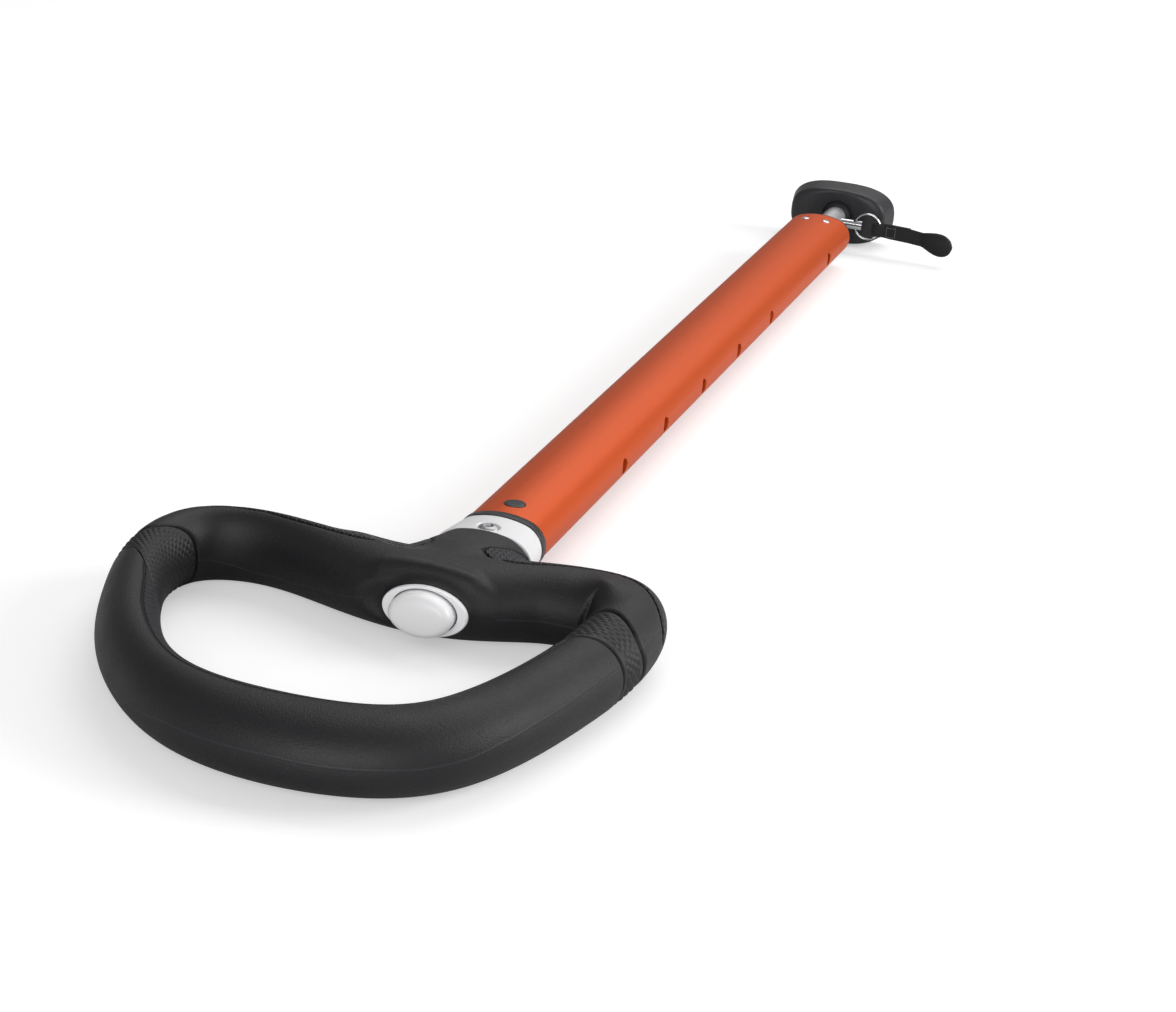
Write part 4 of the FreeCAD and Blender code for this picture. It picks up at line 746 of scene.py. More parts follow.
def hub_field(p):
    """About how far each point lies outside the hub's skin. The corner's rounding and the brow are
    added to the arms and the neck, the scoop is taken away, the button's nose is added and its
    pocket taken away, and the open ends are cut with round edges."""
    x, y, z = p.T
    away, half_w, place = read_plan(x, y)
    outside = body_field(x, y, z, away, half_w)
    corner = np.hypot(np.hypot(x - CORNER[0], y - CORNER[1]), z * CORNER_SLIM) - CORNER_ROUND
    outside = smooth_min(outside, corner, CORNER_BLEND)
    brow = (np.hypot((x - SCOOP_X) / BROW[0], (z - BUTTON_Z) / BROW[1]) - 1) * BROW[1]
    low = np.clip(np.interp(x, *BROW_LOW) - z, 0, BROW_LOW_MOST)
    beside = BROW_SIDE_SLOPE * np.clip(np.abs(x - SCOOP_X) - BROW_SIDE, 0, BROW_SIDE_MOST)
    brow = np.hypot(brow, y - BROW_Y) - BROW_ROUND + low + beside
    outside = smooth_min(outside, brow, BROW_BLEND)
    scoop = np.sqrt(((x - SCOOP_X) / SCOOP[0]) ** 2 + ((y - SCOOP_Y) / SCOOP[1]) ** 2
                    + ((z - BUTTON_Z) / SCOOP[2]) ** 2) - 1
    outside = smooth_max(outside, -scoop * SCOOP[1], SCOOP_ROUND)
    nose = ellipse_reach(x, z, np.interp(y, NOSE_Y, NOSE_HALF), np.interp(y, NOSE_Y, NOSE_TALL))
    nose = smooth_max(nose, NOSE_FACE - y, NOSE_FACE_ROUND)
    nose = smooth_max(nose, y - NOSE_Y[-1], NOSE_BACK_ROUND)
    outside = smooth_min(outside, nose, NOSE_BLEND)
    pocket = np.maximum(ellipse_reach(x, z, *POCKET_HALF), y - POCKET_END)
    outside = smooth_max(np.maximum(outside, -pocket), y - NECK_END, NECK_END_ROUND)
    turn = np.arctan2(z / LOOP_HALF_HEIGHT, away / half_w)
    right_end = np.where(place < ARM_MIDDLE, ARM_EDGE_RIGHT(turn) + BAND_GAP - place, FAR_INSIDE)
    left_end = np.where(place > ARM_MIDDLE, place - ARM_EDGE_LEFT(turn) + BAND_GAP, FAR_INSIDE)
    return smooth_max(smooth_max(outside, right_end, BAND_ROUND), left_end, BAND_ROUND)


def surface_net(field, low, high, step):
    """The closed surface where a field is zero: one point in each grid cell that it crosses, at the
    mean of the crossings on the cell's edges, and one quad round each crossed edge. The points are
    then moved onto the surface along the field's slope."""
    passes = 5
    nudge = 0.05
    least_slope = 0.05
    axes = [np.arange(a, b + step, step) for a, b in zip(low, high)]
    shape = tuple(len(axis) for axis in axes)
    corners = np.stack(np.meshgrid(*axes, indexing="ij"), -1).reshape(-1, 3)
    values = field(corners).reshape(shape)
    index = np.arange(values.size).reshape(shape)
    total = np.zeros((values.size, 3))
    hits = np.zeros(values.size)
    quads = []
    strides = np.array([shape[1] * shape[2], shape[2], 1])
    for axis in range(3):
        first = [slice(1, -1)] * 3
        second = [slice(1, -1)] * 3
        second[axis] = slice(2, None)
        one, other = values[tuple(first)], values[tuple(second)]
        crossed = (one < 0) != (other < 0)
        start = index[tuple(first)][crossed]
        a, b = one[crossed], other[crossed]
        spot = corners[start]
        spot[:, axis] += step * a / (a - b)
        side, rise = strides[(axis + 1) % 3], strides[(axis + 2) % 3]
        ring = np.stack([start, start - side, start - side - rise, start - rise], -1)
        for k in range(4):
            np.add.at(total, ring[:, k], spot)
            np.add.at(hits, ring[:, k], 1)
        inward = a < 0
        quads.append(ring[inward])
        quads.append(ring[~inward][:, ::-1])
    used = np.flatnonzero(hits)
    renumber = np.zeros(values.size, int)
    renumber[used] = np.arange(len(used))
    points = total[used] / hits[used, None]
    for _ in range(passes):
        slope = np.stack([(field(points + nudge * e) - field(points - nudge * e)) / (2 * nudge)
                          for e in np.eye(3)], -1)
        move = (field(points) / np.maximum((slope ** 2).sum(-1), least_slope))[:, None] * slope
        points = points - np.clip(move, -step / 2, step / 2)
    return points, renumber[np.concatenate(quads)]


def hub_marks(points):
    """Distances on the hub's skin from the border of the textured panels and from the parting
    line, and its map: the place along the loop and the way round it. Over the neck the place goes
    by how far across a point lies, and on top the way round goes straight towards the tube."""
    x, y, z = points.T
    away, half_w, place = read_plan(x, y)
    turn = np.arctan2(z / LOOP_HALF_HEIGHT, away / half_w)
    outer = np.where(place < SEAM_OUTSIDE_END, z - np.interp(place, *SEAM_OUTSIDE), FAR_OFF)
    by_nose = np.hypot((x - BUTTON_X) / SEAM_CLEAR_STRETCH, z) < SEAM_CLEAR
    inner = np.where(by_nose, FAR_OFF, z - np.interp(place, *SEAM_INSIDE))
    neck = np.clip((NECK_MAP_HALF - np.abs(x)) / NECK_MAP_FADE, 0, 1)
    order = np.argsort(ARM_LINE[:, 0])
    by_x = np.interp(x, ARM_LINE[order, 0], ARM_PLACE[order])
    top = np.interp(y, NECK_TOP_Y, (0, 1)) * (np.abs(x) < NECK_TOP_HALF)
    over_top = NECK_TOP_Y[0] + math.pi / 2 * AROUND - y
    round_way = turn * AROUND * (1 - top) + top * over_top
    marks = {"panel": panel_border(x, y), "seam": np.where(away < 0, inner, outer)}
    return marks, np.c_[place + (by_x - place) * neck, round_way]


hub_points, hub_faces = surface_net(hub_field, HUB_LOW, HUB_HIGH, HUB_STEP)
hub_values, hub_map = hub_marks(hub_points)
new_piece("hub_skin", hub_points, hub_faces, "soft_grip", "handle", ["hub_grip"],
          values=hub_values, uv=hub_map)

# Push button: a white moulded thumb button, gloss and a little domed, with a soft front edge. It
# slides in the pocket of the hub's nose and stands out of the bezel at rest.

BUTTON_HALF = (9.6, 6.5)
BUTTON_FRONT = -514.4
BUTTON_BACK = -500.8
BUTTON_ROUND = 3.0
BUTTON_ROUND_START = 16
BUTTON_DOME = 0.7
BUTTON_COLUMNS = 96
BUTTON_STEPS = 14


def round_edge(radius, steps, start=0):
    """A quarter circle from a face to a side, from an angle in degrees: how far in from the side
    and how far behind the face each step lies."""
    arc = np.radians(np.linspace(start, 90, steps))
    return radius * (1 - np.sin(arc)), radius * (1 - np.cos(arc))


def oval_rings(halves, talls, places, columns):
    """Ellipses round the button's axis, one for each half width, half height and place."""
    turn = full_turn(columns)
    x = BUTTON_X + np.asarray(halves)[:, None] * np.cos(turn)
    z = BUTTON_Z + np.asarray(talls)[:, None] * np.sin(turn)
    return np.stack([x, np.broadcast_to(np.asarray(places)[:, None], x.shape), z], -1)


finish_slot("white_moulding", moulded("WhiteMoulding", colour=(0.86, 0.86, 0.87), roughness=0.36,
                                      grain_size=0.6, depth=0.004, coat=0.1))
dome = np.linspace(0.06, 0.97, BUTTON_STEPS)
edge_inset, edge_back = round_edge(BUTTON_ROUND, BUTTON_STEPS, BUTTON_ROUND_START)
inset = np.r_[np.full(BUTTON_STEPS, edge_inset[0]), edge_inset, 0]
scale = np.r_[dome, np.ones(BUTTON_STEPS + 1)]
button_y = np.r_[BUTTON_FRONT + BUTTON_DOME * dome ** 2,
                 BUTTON_FRONT + BUTTON_DOME + edge_back - edge_back[0], BUTTON_BACK]
button_rings = oval_rings(scale * (BUTTON_HALF[0] - inset), scale * (BUTTON_HALF[1] - inset), button_y,
                          BUTTON_COLUMNS)
new_piece("thumb_button", *ring_skin(button_rings), "white_moulding", "button", ["push_button"])

# Bezel: a white moulded ring with a rounded rim, pressed into the nose round the button. Its face
# is wider beside the button than above and below it.

BEZEL_HALF = (12.9, 7.5)
BEZEL_FACE = -508.0
BEZEL_BACK = -503.0
BEZEL_WIDE = 3.0
BEZEL_WIDE_SHARE = 0.27
BEZEL_OUTER_ROUND = 0.6
BEZEL_INNER_ROUND = 0.4
BEZEL_LEAN = 0.15
BEZEL_COLUMNS = 112

inner_inset, inner_back = (values[::-1] for values in round_edge(BEZEL_INNER_ROUND, 6))
outer_inset, outer_back = round_edge(BEZEL_OUTER_ROUND, 9)
inset = np.r_[BEZEL_WIDE, BEZEL_WIDE - inner_inset, outer_inset, 0]
bezel_y = np.r_[BEZEL_BACK, BEZEL_FACE + BEZEL_LEAN + inner_back, BEZEL_FACE + outer_back, BEZEL_BACK]
bezel_rings = oval_rings(BEZEL_HALF[0] - inset, BEZEL_HALF[1] - inset * BEZEL_WIDE_SHARE, bezel_y,
                         BEZEL_COLUMNS)
new_piece("bezel", bezel_rings.reshape(-1, 3), grid_faces(len(inset), BEZEL_COLUMNS, close_rows=True),
          "white_moulding", "handle", ["button_bezel"])

# Collar: a white moulded sleeve round the inner tube, flared towards the hub, that fills the gap
# between the neck and the tube's bush. It has soft edges and a round seat for its screw.

OVAL_HALF = 13.5
OVAL_TALL = 8.5
OVAL_RELIEF = 0.9
OVAL_SIDE_STEPS = 40
OVAL_CROWN_STEPS = 64
LIP_NEAR = -447.1
COLLAR_FAR = LIP_NEAR - 0.05
COLLAR_ROUND = 0.45
COLLAR_GROW_WIDE = (2.3, 0.4)
COLLAR_GROW_TALL = (1.0, 0.4)
COLLAR_BORE = -2.5
COLLAR_ROWS = 48
SCREW_Y = -457.5
SCREW_SEAT = 3.7
SCREW_SEAT_DEPTH = 0.6
SCREW_SEAT_EDGE = 0.25


def oval_sleeve(places, grow_wide, grow_tall, inset):
    """Rings of the tubes' oval at places along them. The oval is four arcs, two sides and two
    crowns that meet at one slope, grown in width and height. Each point is given by the way its
    normal faces, and lies inset along that normal."""
    wide = np.asarray(OVAL_HALF + grow_wide, float)[..., None]
    tall = np.asarray(OVAL_TALL + grow_tall, float)[..., None]
    inset = np.asarray(inset, float)[..., None]
    side = tall - OVAL_RELIEF
    across = wide - side
    drop = (across ** 2 + tall ** 2 - side ** 2) / (2 * OVAL_RELIEF) - tall
    lean = np.arctan2(drop, across)
    side_facing = lean * np.linspace(-1, 1, OVAL_SIDE_STEPS, endpoint=False)
    crown_share = np.linspace(-1, 1, OVAL_CROWN_STEPS, endpoint=False)
    crown_facing = math.pi / 2 + (math.pi / 2 - lean) * crown_share
    wall = side - inset
    crown = tall + drop - inset
    half_x = np.concatenate([across + wall * np.cos(side_facing), crown * np.cos(crown_facing)], -1)
    half_z = np.concatenate([wall * np.sin(side_facing), crown * np.sin(crown_facing) - drop], -1)
    x = np.concatenate([half_x, -half_x], -1)
    z = np.concatenate([half_z, -half_z], -1)
    return np.stack([x, np.broadcast_to(np.asarray(places)[:, None], x.shape), z], -1)


edge_inset, edge_back = round_edge(COLLAR_ROUND, 6)
wall = np.linspace(NECK_END + COLLAR_ROUND, COLLAR_FAR - COLLAR_ROUND, COLLAR_ROWS + 2)[1:-1]
collar_y = np.r_[NECK_END, NECK_END + edge_back, wall, COLLAR_FAR - edge_back[::-1], COLLAR_FAR]
collar_inset = np.r_[0, edge_inset, np.zeros(COLLAR_ROWS), edge_inset[::-1], 0]
share = (collar_y - NECK_END) / (LIP_NEAR - NECK_END)
grow_wide = np.interp(share, (0, 1), COLLAR_GROW_WIDE)
grow_tall = np.interp(share, (0, 1), COLLAR_GROW_TALL)
grow_wide[[0, -1]] = COLLAR_BORE
grow_tall[[0, -1]] = COLLAR_BORE
collar_rings = oval_sleeve(collar_y, grow_wide, grow_tall, collar_inset)
from_screw = np.hypot(collar_rings[..., 0], collar_rings[..., 1] - SCREW_Y)
seat_share = np.clip((SCREW_SEAT - from_screw) / SCREW_SEAT_EDGE, 0, 1) * (collar_rings[..., 2] > 0)
collar_rings[..., 2] -= SCREW_SEAT_DEPTH * seat_share
collar_faces = grid_faces(*collar_rings.shape[:2], close_rows=True)
new_piece("collar_sleeve", collar_rings.reshape(-1, 3), collar_faces, "white_moulding", "handle", ["collar"])

# Collar screw: a stainless button-head screw with a hexagon socket, turned and a little dull. It
# goes through the collar into the inner tube.

SCREW_HEAD = 3.15
SCREW_TALL = 1.35
SCREW_FOOT_Z = 8.65
SOCKET_FLAT = 1.25
SOCKET_DEPTH = 1.1
SCREW_COLUMNS = 72
# Shares of any button head: its dome's arc in degrees, the height of its edge and the radius under
# its rim. The dome ends this much outside the socket's flats
DOME_ARC = (8, 76)
DOME_STEPS = 12
DOME_EDGE = 0.15
UNDER_RIM = 0.97
SOCKET_CLEAR = 1.2
# The socket's chamfer and its floor: a share of the hexagon, and millimetres down
SOCKET_CHAMFER = (1.06, 0.08)
SOCKET_FLOOR = (0.5, 0.15)
SCREW_STEEL = brushed("ScrewSteel", colour=(0.42, 0.42, 0.43), roughness=0.42, lines=(2.0, 2.0, 2.0),
                      depth=0.004)


def screw_rings(head, tall, flat, depth, columns):
    """Rings of a button head about its own axis, from under its rim over the dome to the floor of
    its hexagon socket. The dome is an arc of a circle stretched to the head's radius and height."""
    turn = full_turn(columns)
    arc = np.radians(np.linspace(*DOME_ARC, DOME_STEPS))
    radius = np.r_[head * UNDER_RIM, head * np.cos(arc) / math.cos(arc[0])]
    climb = (np.sin(arc) - math.sin(arc[0])) / math.sin(arc[-1])
    height = np.r_[0, tall * (DOME_EDGE + (1 - DOME_EDGE) * climb)]
    hexagon = flat / np.cos((turn + math.pi / 6) % (math.pi / 3) - math.pi / 6)
    rims = np.broadcast_to(radius[:, None], (len(radius), columns))
    keep = radius > flat * SOCKET_CLEAR
    rims = np.concatenate([rims[keep], [hexagon * SOCKET_CHAMFER[0], hexagon, hexagon,
                                        hexagon * SOCKET_FLOOR[0]]])
    top = height[keep][-1]
    height = np.r_[height[keep], top, top - SOCKET_CHAMFER[1], top - depth, top - depth - SOCKET_FLOOR[1]]
    rings = np.stack([rims * np.cos(turn), rims * np.sin(turn),
                      np.broadcast_to(height[:, None], rims.shape)], -1)
    return rings[:, ::-1]


head_rings = screw_rings(SCREW_HEAD, SCREW_TALL, SOCKET_FLAT, SOCKET_DEPTH, SCREW_COLUMNS)
screw_points, screw_faces = ring_skin(head_rings)
new_piece("collar_screw_head", screw_points + np.array([0, SCREW_Y, SCREW_FOOT_Z]), screw_faces,
          "stainless", "handle", ["collar_screw"], finish=SCREW_STEEL)

# Bush: a black moulded liner in the tube's near end that the inner tube slides through, with a
# rounded lip outside. Two round pips snap into holes in the tube's wall and hold it.

TUBE_NEAR = -443.0
LIP_FAR = TUBE_NEAR - 0.05
LIP_GROW = 0.45
LIP_ROUND = 1.1
LIP_FACE = 0.3
LIP_CHAMFER = 0.25
LINER_OUT = -1.65
LINER_IN = -2.42
LINER_FAR = -427.0
PIP_Y = -433.6
PIP_COLUMNS = 48
# The pip's radius and its height above the tube's middle, from its foot to its crown
PIP_RADIUS, PIP_HEIGHT = np.transpose([(3.33, 7.9), (3.33, 8.37), (3.27, 8.54), (3.08, 8.62), (1.998, 8.66)])


def joined(parts):
    """One list of points and one of faces from several."""
    points, faces, count = [], [], 0
    for some_points, some_faces in parts:
        points.append(some_points)
        faces += [[corner + count for corner in face] for face in some_faces]
        count += len(some_points)
    return np.concatenate(points), faces


finish_slot("black_moulding", moulded("BlackMoulding", colour=(0.026, 0.026, 0.029), roughness=0.42,
                                      grain_size=0.5, depth=0.02, specular=0.35))
lip_inset, lip_back = round_edge(LIP_ROUND, 8)
bush_y = np.r_[LINER_FAR, LIP_NEAR, LIP_NEAR, LIP_NEAR + lip_back, LIP_FAR - LIP_CHAMFER, LIP_FAR,
               LIP_FAR, LINER_FAR]
bush_grow = np.r_[LINER_IN, LINER_IN, LIP_GROW - LIP_ROUND - LIP_FACE, LIP_GROW - lip_inset, LIP_GROW,
                  LIP_GROW - LIP_CHAMFER, LINER_OUT, LINER_OUT]
bush_rings = oval_sleeve(bush_y, 0, 0, -bush_grow)
bush_parts = [(bush_rings.reshape(-1, 3), grid_faces(*bush_rings.shape[:2], close_rows=True).tolist())]
turn = full_turn(PIP_COLUMNS)
for side in (1, -1):
    pip = np.stack([PIP_RADIUS[:, None] * np.cos(turn), PIP_Y + PIP_RADIUS[:, None] * np.sin(turn),
                    np.broadcast_to(side * PIP_HEIGHT[:, None], (len(PIP_HEIGHT), PIP_COLUMNS))], -1)
    bush_parts.append(ring_skin(pip[:, ::-side]))
new_piece("bush", *joined(bush_parts), "black_moulding", "tube", ["tube_bush"])

# End screws: two small stainless button-head screws through the top of the tube's far end into its
# plug. Each stands square to the tube's crown.

END_SCREW_HEAD = 1.75
END_SCREW_TALL = 0.62
END_SOCKET_FLAT = 0.62
END_SOCKET_DEPTH = 0.5
END_SCREW_COLUMNS = 48
END_SCREW_X = 4.5
END_SCREW_Y = -54.0
CROWN_RADIUS = 27.39
CROWN_SINK = 0.12

end_parts = []
for side in (1, -1):
    points, faces = ring_skin(screw_rings(END_SCREW_HEAD, END_SCREW_TALL, END_SOCKET_FLAT, END_SOCKET_DEPTH,
                                          END_SCREW_COLUMNS))
    lean = side * math.asin(END_SCREW_X / CROWN_RADIUS)
    reach = points[:, 2] + CROWN_RADIUS - CROWN_SINK
    x = points[:, 0] * math.cos(lean) + reach * math.sin(lean)
    z = reach * math.cos(lean) - points[:, 0] * math.sin(lean) + OVAL_TALL - CROWN_RADIUS
    end_parts.append((np.stack([x, points[:, 1] + END_SCREW_Y, z], -1), faces))
new_piece("end_screw_heads", *joined(end_parts), "stainless", "tube", ["end_screws"])

# Foot: a black moulded oval block with a little draft and a round front edge, which swivels on its
# ball. A shallow dish runs round its mouth, and behind are the bore of its plug and two brass
# inserts. The sleeve, stud and ball seat keep their solids: satin steel, and a black seat.

FOOT_HALF = (22.8, 20.1)
FOOT_TALL = (12.3, 11.6)
FOOT_POWER = 2.7
FOOT_THICK = 14.0
FOOT_FRONT_CROWN = 0.9
FOOT_FRONT_ROUND = 2.4
FOOT_BACK_ROUND = 1.0
BALL_Y = -9.0
CAVITY = 7.11
MOUTH = 6.1
MOUTH_ROUND = 0.5
MOUTH_SHUT = 40
DISH_HALF = 11.4
DISH_DEPTH = 2.2
DISH_ROUND = 1.2
PLUG_BORE = (9.55, 4.5)
INSERT_BORE = (3.12, 8.0)
INSERT_X = 14.0
FOOT_STEP = 0.5
FOOT_LOW = (-24, -17, -14.5)
FOOT_HIGH = (24, 3, 14.5)
SATIN_STEEL = brushed("SatinSteel", colour=(0.62, 0.62, 0.63), roughness=0.42, lines=(2.0, 0.3, 2.0),
                      depth=0.01, metallic=0.8)


def foot_field(p):
    """About how far each point lies outside the foot. The outline is a rounded oval that shrinks
    towards the front. A shallow sphere makes the dish, and the mouth, which stops at the ball's
    centre, the cavity and the bores follow."""
    x, y, z = p.T
    forward = np.clip(-y / FOOT_THICK, 0, 1)
    half = np.interp(forward, (0, 1), FOOT_HALF)
    tall = np.interp(forward, (0, 1), FOOT_TALL)
    out = ((np.abs(x) / half) ** FOOT_POWER + (np.abs(z) / tall) ** FOOT_POWER) ** (1 / FOOT_POWER)
    front = -y - FOOT_THICK + FOOT_FRONT_CROWN * (x / FOOT_HALF[1]) ** 2
    outside = smooth_max((out - 1) * tall, front, FOOT_FRONT_ROUND)
    outside = smooth_max(outside, y, FOOT_BACK_ROUND)
    away = np.hypot(x, z)
    dish_radius = (DISH_HALF ** 2 + DISH_DEPTH ** 2) / (2 * DISH_DEPTH)
    dish = np.hypot(away, y + FOOT_THICK + dish_radius - DISH_DEPTH) - dish_radius
    outside = smooth_max(outside, -dish, DISH_ROUND)
    outside = smooth_max(outside, MOUTH - away - MOUTH_SHUT * (y > BALL_Y), MOUTH_ROUND)
    outside = np.maximum(outside, CAVITY - np.hypot(away, y - BALL_Y))
    outside = np.maximum(outside, np.minimum(PLUG_BORE[0] - away, y + PLUG_BORE[1]))
    insert = np.hypot(np.abs(x) - INSERT_X, z)
    return np.maximum(outside, np.minimum(INSERT_BORE[0] - insert, y + INSERT_BORE[1]))


finish_slot("brass_insert", brushed("Brass", colour=(0.60, 0.42, 0.14), roughness=0.25,
                                    lines=(2.0, 2.0, 2.0), depth=0.004))
foot_points, foot_faces = surface_net(foot_field, FOOT_LOW, FOOT_HIGH, FOOT_STEP)
new_piece("foot_block", foot_points, foot_faces, "black_moulding", "foot", ["foot"])
for name, finish in (("ball_seat", FINISHES["black_moulding"]), ("ball_stud", SATIN_STEEL),
                     ("end_sleeve", SATIN_STEEL)):
    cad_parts[name].data.materials[0] = finish

# Split ring: two turns of thin stainless spring wire, wound side by side. They cross over once, and
# the ring goes through the hole in the end of the release pin.

RING_X = 15.8
PIN_Y = -22.0
RING_RADIUS = 5.5
RING_WIRE = 0.32
RING_PITCH = 1.02
RING_STEPS = 300
RING_COLUMNS = 12
RING_START = 205
RING_ENDS = 0.06
CROSSING = 0.45


def wire_rings(path, radius, columns):
    """Round rings along a path, square to it, whose columns start level."""
    along = np.gradient(path, axis=0)
    along /= np.linalg.norm(along, axis=1)[:, None]
    side = np.cross(along, (0, 1, 0))
    side /= np.linalg.norm(side, axis=1)[:, None]
    rise = np.cross(side, along)
    turn = full_turn(columns)[None, :, None]
    return path[:, None] + radius * (np.cos(turn) * side[:, None] + np.sin(turn) * rise[:, None])


swing = np.linspace(RING_ENDS, 4 * math.pi - RING_ENDS, RING_STEPS)
cross = np.clip((swing - 2 * math.pi) / CROSSING + 0.5, 0, 1)
offset = RING_WIRE * RING_PITCH * (2 * cross * cross * (3 - 2 * cross) - 1)
around = swing + math.radians(RING_START)
ring_path = np.stack([RING_X + RING_RADIUS * np.cos(around), PIN_Y + offset,
                      RING_RADIUS * np.sin(around)], -1)
new_piece("key_ring", *ring_skin(wire_rings(ring_path, RING_WIRE, RING_COLUMNS)), "stainless", "ring",
          ["split_ring"])

# Pull tab: a ribbon of black woven webbing with soft edges. It runs from the end of its back layer
# round the split ring and forward again as the front layer, and is sewn through both.

TAB_BACK_END = 34.4
TAB_FRONT_END = 42.5
TAB_LAYER = 0.62
TAB_HALF_THICK = TAB_LAYER - 0.04
TAB_EYE_X = 20.17
TAB_EYE_RADIUS = 1.9
TAB_NECK_START = 0.1
TAB_NECK = 3.0
TAB_NECK_END = 0.3
TAB_COLUMNS = 44
BACK_STEPS = 30
NECK_STEPS = 12
EYE_STEPS = 30
FRONT_STEPS = 50
# Powers that square off the ribbon's section: across it, and through its thickness
TAB_SQUARE = (0.55, 0.45)
# The heights of the ribbon's upper and lower edges at places along it
TAB_X, TAB_TOP, TAB_LOW = np.transpose([
    (17, 2.05, -2.9), (21, 2.25, -3.2), (26, 2.3, -3.75), (34.6, 2.0, -4.2), (41, 1.2, -4.85),
    (44, 0.8, -5.1),
])


def tab_path():
    """The ribbon's line seen from above: straight back layer, half a turn round the eye, straight
    front layer, with short curves between them."""
    swing = np.linspace(math.pi / 2, 3 * math.pi / 2, EYE_STEPS)
    eye = np.c_[TAB_EYE_X + TAB_EYE_RADIUS * np.cos(swing), TAB_EYE_RADIUS * np.sin(swing)]
    ease = np.linspace(0, 1, NECK_STEPS)
    drop = TAB_LAYER + (TAB_EYE_RADIUS - TAB_LAYER) * (1 - ease * ease * (3 - 2 * ease))
    neck_x = TAB_EYE_X + TAB_NECK_START + TAB_NECK * ease
    straight = neck_x[-1] + TAB_NECK_END
    back = np.c_[np.linspace(TAB_BACK_END, straight, BACK_STEPS), np.full(BACK_STEPS, TAB_LAYER)]
    front = np.c_[np.linspace(straight, TAB_FRONT_END, FRONT_STEPS), np.full(FRONT_STEPS, -TAB_LAYER)]
    return np.concatenate([back, np.c_[neck_x, drop][::-1], eye, np.c_[neck_x, -drop], front])


def squared(wave, power):
    """A sine or cosine raised to a power below one with its sign kept, which squares a circle."""
    return np.sign(wave) * np.abs(wave) ** power


finish_slot("webbing", moulded("Webbing", colour=(0.016, 0.016, 0.017), roughness=0.8, grain_size=0.4,
                               depth=0.05, specular=0.3))
line = tab_path()
step = np.gradient(line, axis=0)
step /= np.linalg.norm(step, axis=1)[:, None]
normal = np.c_[-step[:, 1], step[:, 0]]
along = np.r_[0, np.cumsum(np.linalg.norm(np.diff(line, axis=0), axis=1))]
top = np.interp(line[:, 0], TAB_X, TAB_TOP)[:, None]
low = np.interp(line[:, 0], TAB_X, TAB_LOW)[:, None]
turn = full_turn(TAB_COLUMNS)
height = (top + low) / 2 + (top - low) / 2 * squared(np.cos(turn), TAB_SQUARE[0])
thick = TAB_HALF_THICK * squared(np.sin(turn), TAB_SQUARE[1])
flat = line[:, None] + thick[None, :, None] * normal[:, None]
tab_rings = np.stack([flat[..., 0], PIN_Y + flat[..., 1], height], -1)
tab_map = np.stack([np.broadcast_to(along[:, None], height.shape), height], -1).reshape(-1, 2)
tab_map = np.concatenate([tab_map, [[along[0], -1], [along[-1], -1]]])
new_piece("webbing_tab", *ring_skin(tab_rings), "webbing", "tab", ["pull_tab"], uv=tab_map)

# Tab stitches: grey thread through both layers of the webbing, sewn by machine in a small box. Each
# stitch is a short wire whose ends dip into the weave, and shows on both faces.

STITCH_ROWS_X = (24.4, 28.2)
STITCH_ROWS_Z = (1.1, -2.9)
STITCHES_X = np.arange(25.0, 28.0, 1.2)
STITCHES_Z = np.arange(-2.5, 1.3, 1.2)
STITCH_LENGTH = 0.9
STITCH_RADIUS = 0.16
STITCH_DIP = 0.12
STITCH_STEPS = 7
STITCH_COLUMNS = 8
THREAD = moulded("Thread", colour=(0.10, 0.10, 0.105), roughness=0.7, grain_size=0.3, depth=0.03)

stitches = [(x, z, 0) for x in STITCH_ROWS_X for z in STITCHES_Z]
stitches += [(x, z, 1) for z in STITCH_ROWS_Z for x in STITCHES_X]
stitch_parts = []
for x, z, flat_row in stitches:
    for face_y in (-2 * TAB_LAYER, 2 * TAB_LAYER):
        t = np.linspace(-1, 1, STITCH_STEPS)
        run = np.stack([x + flat_row * t * STITCH_LENGTH / 2, PIN_Y + face_y * (1 - STITCH_DIP * t * t),
                        z + (1 - flat_row) * t * STITCH_LENGTH / 2], -1)
        stitch_parts.append(ring_skin(wire_rings(run, STITCH_RADIUS, STITCH_COLUMNS)))
new_piece("tab_stitches", *joined(stitch_parts), "webbing", "tab", finish=THREAD)

# Tab end: a soft black club moulded over the end of the webbing, for finger and thumb. It swells
# from the ribbon to a rounded end.

CLUB_Y = -0.6
CLUB_ROWS = 60
CLUB_COLUMNS = 48
# Half height, half thickness and the middle's height at places along the tab
CLUB_X, CLUB_HALF, CLUB_THICK, CLUB_Z = np.transpose([
    (39.8, 3.0, 1.5, -1.75), (40.6, 3.25, 1.75, -1.85), (42.0, 3.7, 2.1, -2.1), (44.0, 4.35, 2.45, -2.5),
    (46.5, 4.85, 2.65, -2.9), (49.0, 4.75, 2.55, -3.15), (51.0, 3.9, 2.15, -3.3), (52.4, 2.5, 1.4, -3.35),
    (53.2, 0.6, 0.4, -3.35),
])
CLUB_RUBBER = moulded("ClubRubber", colour=(0.010, 0.010, 0.011), roughness=0.62, grain_size=0.8, depth=0.1,
                      specular=0.25)


def smooth_read(spots, given, values):
    """A cubic through values at uneven places, with slopes from the values on both sides."""
    slope = np.gradient(values, given)
    i = np.clip(np.searchsorted(given, spots) - 1, 0, len(given) - 2)
    width = given[i + 1] - given[i]
    t = (spots - given[i]) / width
    return ((2 * t ** 3 - 3 * t ** 2 + 1) * values[i] + (t ** 3 - 2 * t ** 2 + t) * width * slope[i]
            + (3 * t ** 2 - 2 * t ** 3) * values[i + 1] + (t ** 3 - t ** 2) * width * slope[i + 1])


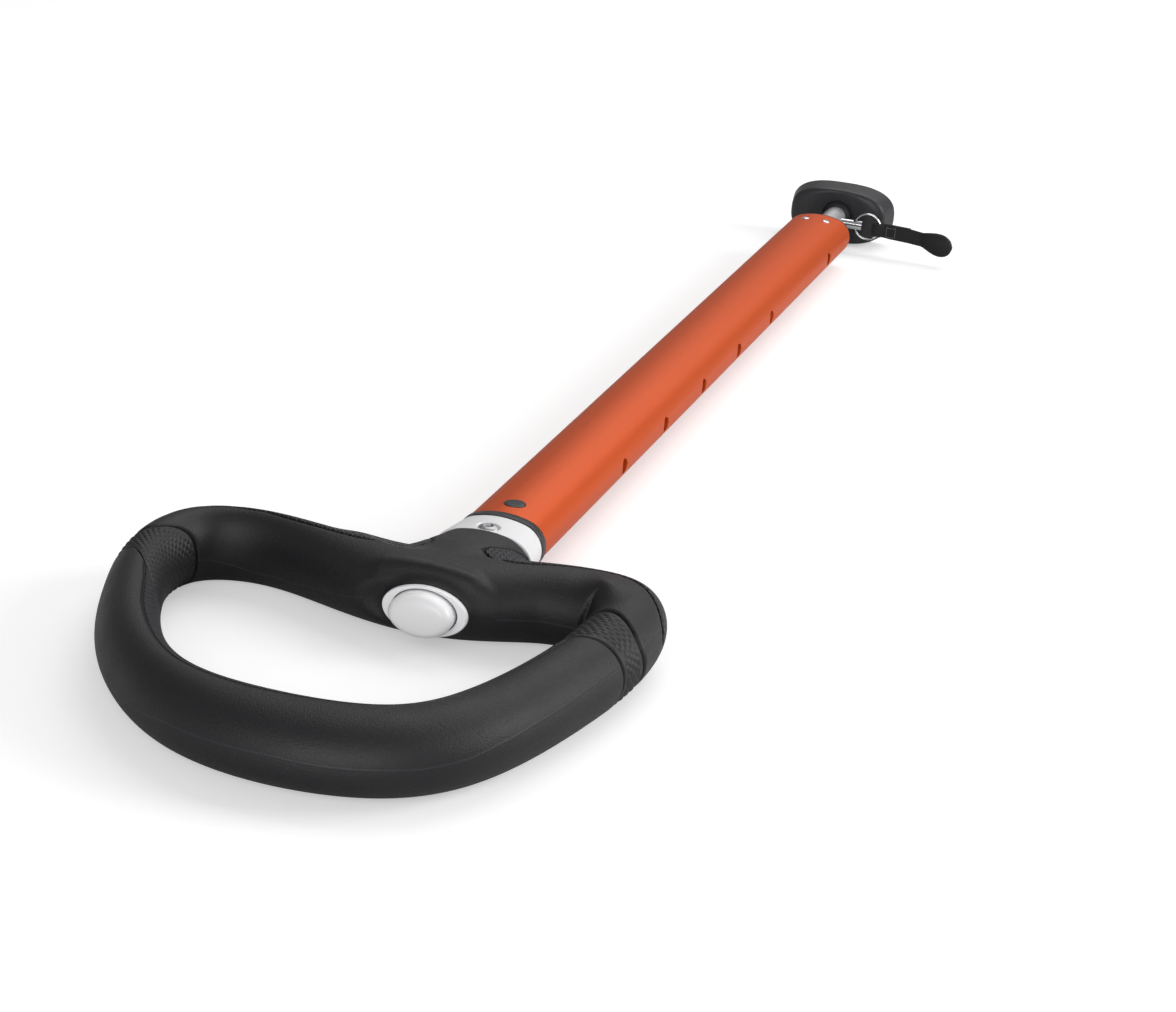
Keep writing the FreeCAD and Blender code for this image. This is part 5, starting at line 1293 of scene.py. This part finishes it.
spots = CLUB_X[0] + (CLUB_X[-1] - CLUB_X[0]) * np.sin(np.linspace(0, math.pi / 2, CLUB_ROWS))
turn = full_turn(CLUB_COLUMNS)
half, thick, middle = (smooth_read(spots, CLUB_X, values)[:, None]
                       for values in (CLUB_HALF, CLUB_THICK, CLUB_Z))
club_rings = np.stack([np.broadcast_to(spots[:, None], (CLUB_ROWS, CLUB_COLUMNS)),
                       PIN_Y + CLUB_Y + thick * np.cos(turn), middle + half * np.sin(turn)], -1)
new_piece("tab_club", *ring_skin(club_rings[:, ::-1]), "webbing", "tab", ["tab_end"], finish=CLUB_RUBBER)

# Stage: a pale floor under the part that keeps its shadow, and a white room with three soft lights
# of about one strength: above and behind, on the right, and low in front.

FLOOR_Z = -12.1 * MM
FLOOR_REACH = 6.0
FLOOR_GREY = (0.72, 0.72, 0.72)
FLOOR_GLOW = 0.42
FAR_GLOW = 0.7
FAR_START = 1.0
FAR_FADE = 2.0
ROOM_LIGHT = 0.26
ROOM_GLOW = 0.8
WHITE = (1, 1, 1, 1)
MIDDLE = (0.0, -0.3, 0.0)


def floor_material():
    """Matt and nearly white. The camera also sees it glow, more so from a metre away on, so that it
    is white wherever no shadow falls."""
    made, tree, shader = material("Floor", FLOOR_GREY, 0.9)
    seen = put(tree, "ShaderNodeLightPath").outputs["Is Camera Ray"]
    place = put(tree, "ShaderNodeTexCoord").outputs["Object"]
    reach = put(tree, "ShaderNodeVectorMath", [(place, "Vector")], operation="LENGTH").outputs["Value"]
    share = math_node(tree, "DIVIDE", math_node(tree, "SUBTRACT", reach, FAR_START), FAR_FADE)
    far = put(tree, "ShaderNodeClamp", [(share, "Value")]).outputs["Result"]
    glow = math_node(tree, "MULTIPLY", seen, weighted(tree, FLOOR_GLOW, (far, FAR_GLOW)))
    shader.inputs["Emission Color"].default_value = WHITE
    tree.links.new(glow, shader.inputs["Emission Strength"])
    return made


def soft_light(name, place, target, size, power):
    """A square area light that faces its target."""
    lamp = bpy.data.lights.new(name, "AREA")
    lamp.size = size
    lamp.energy = power
    made = bpy.data.objects.new(name, lamp)
    made.location = place
    away = np.array(place) - np.array(target)
    across = math.hypot(away[0], away[1])
    made.rotation_euler = (math.atan2(across, away[2]), 0, math.atan2(away[1], away[0]) + math.pi / 2)
    bpy.context.scene.collection.objects.link(made)


floor_mesh = bpy.data.meshes.new("floor")
floor_mesh.from_pydata([(x * FLOOR_REACH, y * FLOOR_REACH, FLOOR_Z)
                        for x, y in ((-1, -1), (1, -1), (1, 1), (-1, 1))], [], [(0, 1, 2, 3)])
floor_mesh.materials.append(floor_material())
floor = bpy.data.objects.new("floor", floor_mesh)
bpy.context.scene.collection.objects.link(floor)

room = bpy.data.worlds.new("room")
room.use_nodes = True
sky = room.node_tree.nodes["Background"]
sky.inputs["Color"].default_value = WHITE
room_seen = put(room.node_tree, "ShaderNodeLightPath").outputs["Is Camera Ray"]
room_strength = weighted(room.node_tree, ROOM_LIGHT, (room_seen, ROOM_GLOW))
room.node_tree.links.new(room_strength, sky.inputs["Strength"])
bpy.context.scene.world = room

soft_light("top", (0.15, 0.8, 1.5), MIDDLE, size=1.6, power=16)
soft_light("right", (1.5, 0.2, 0.7), MIDDLE, size=0.9, power=18)
soft_light("front", (0.2, -1.9, 0.45), (0.0, -0.5, 0.0), size=1.2, power=17)

bpy.context.scene.view_settings.view_transform = "Standard"
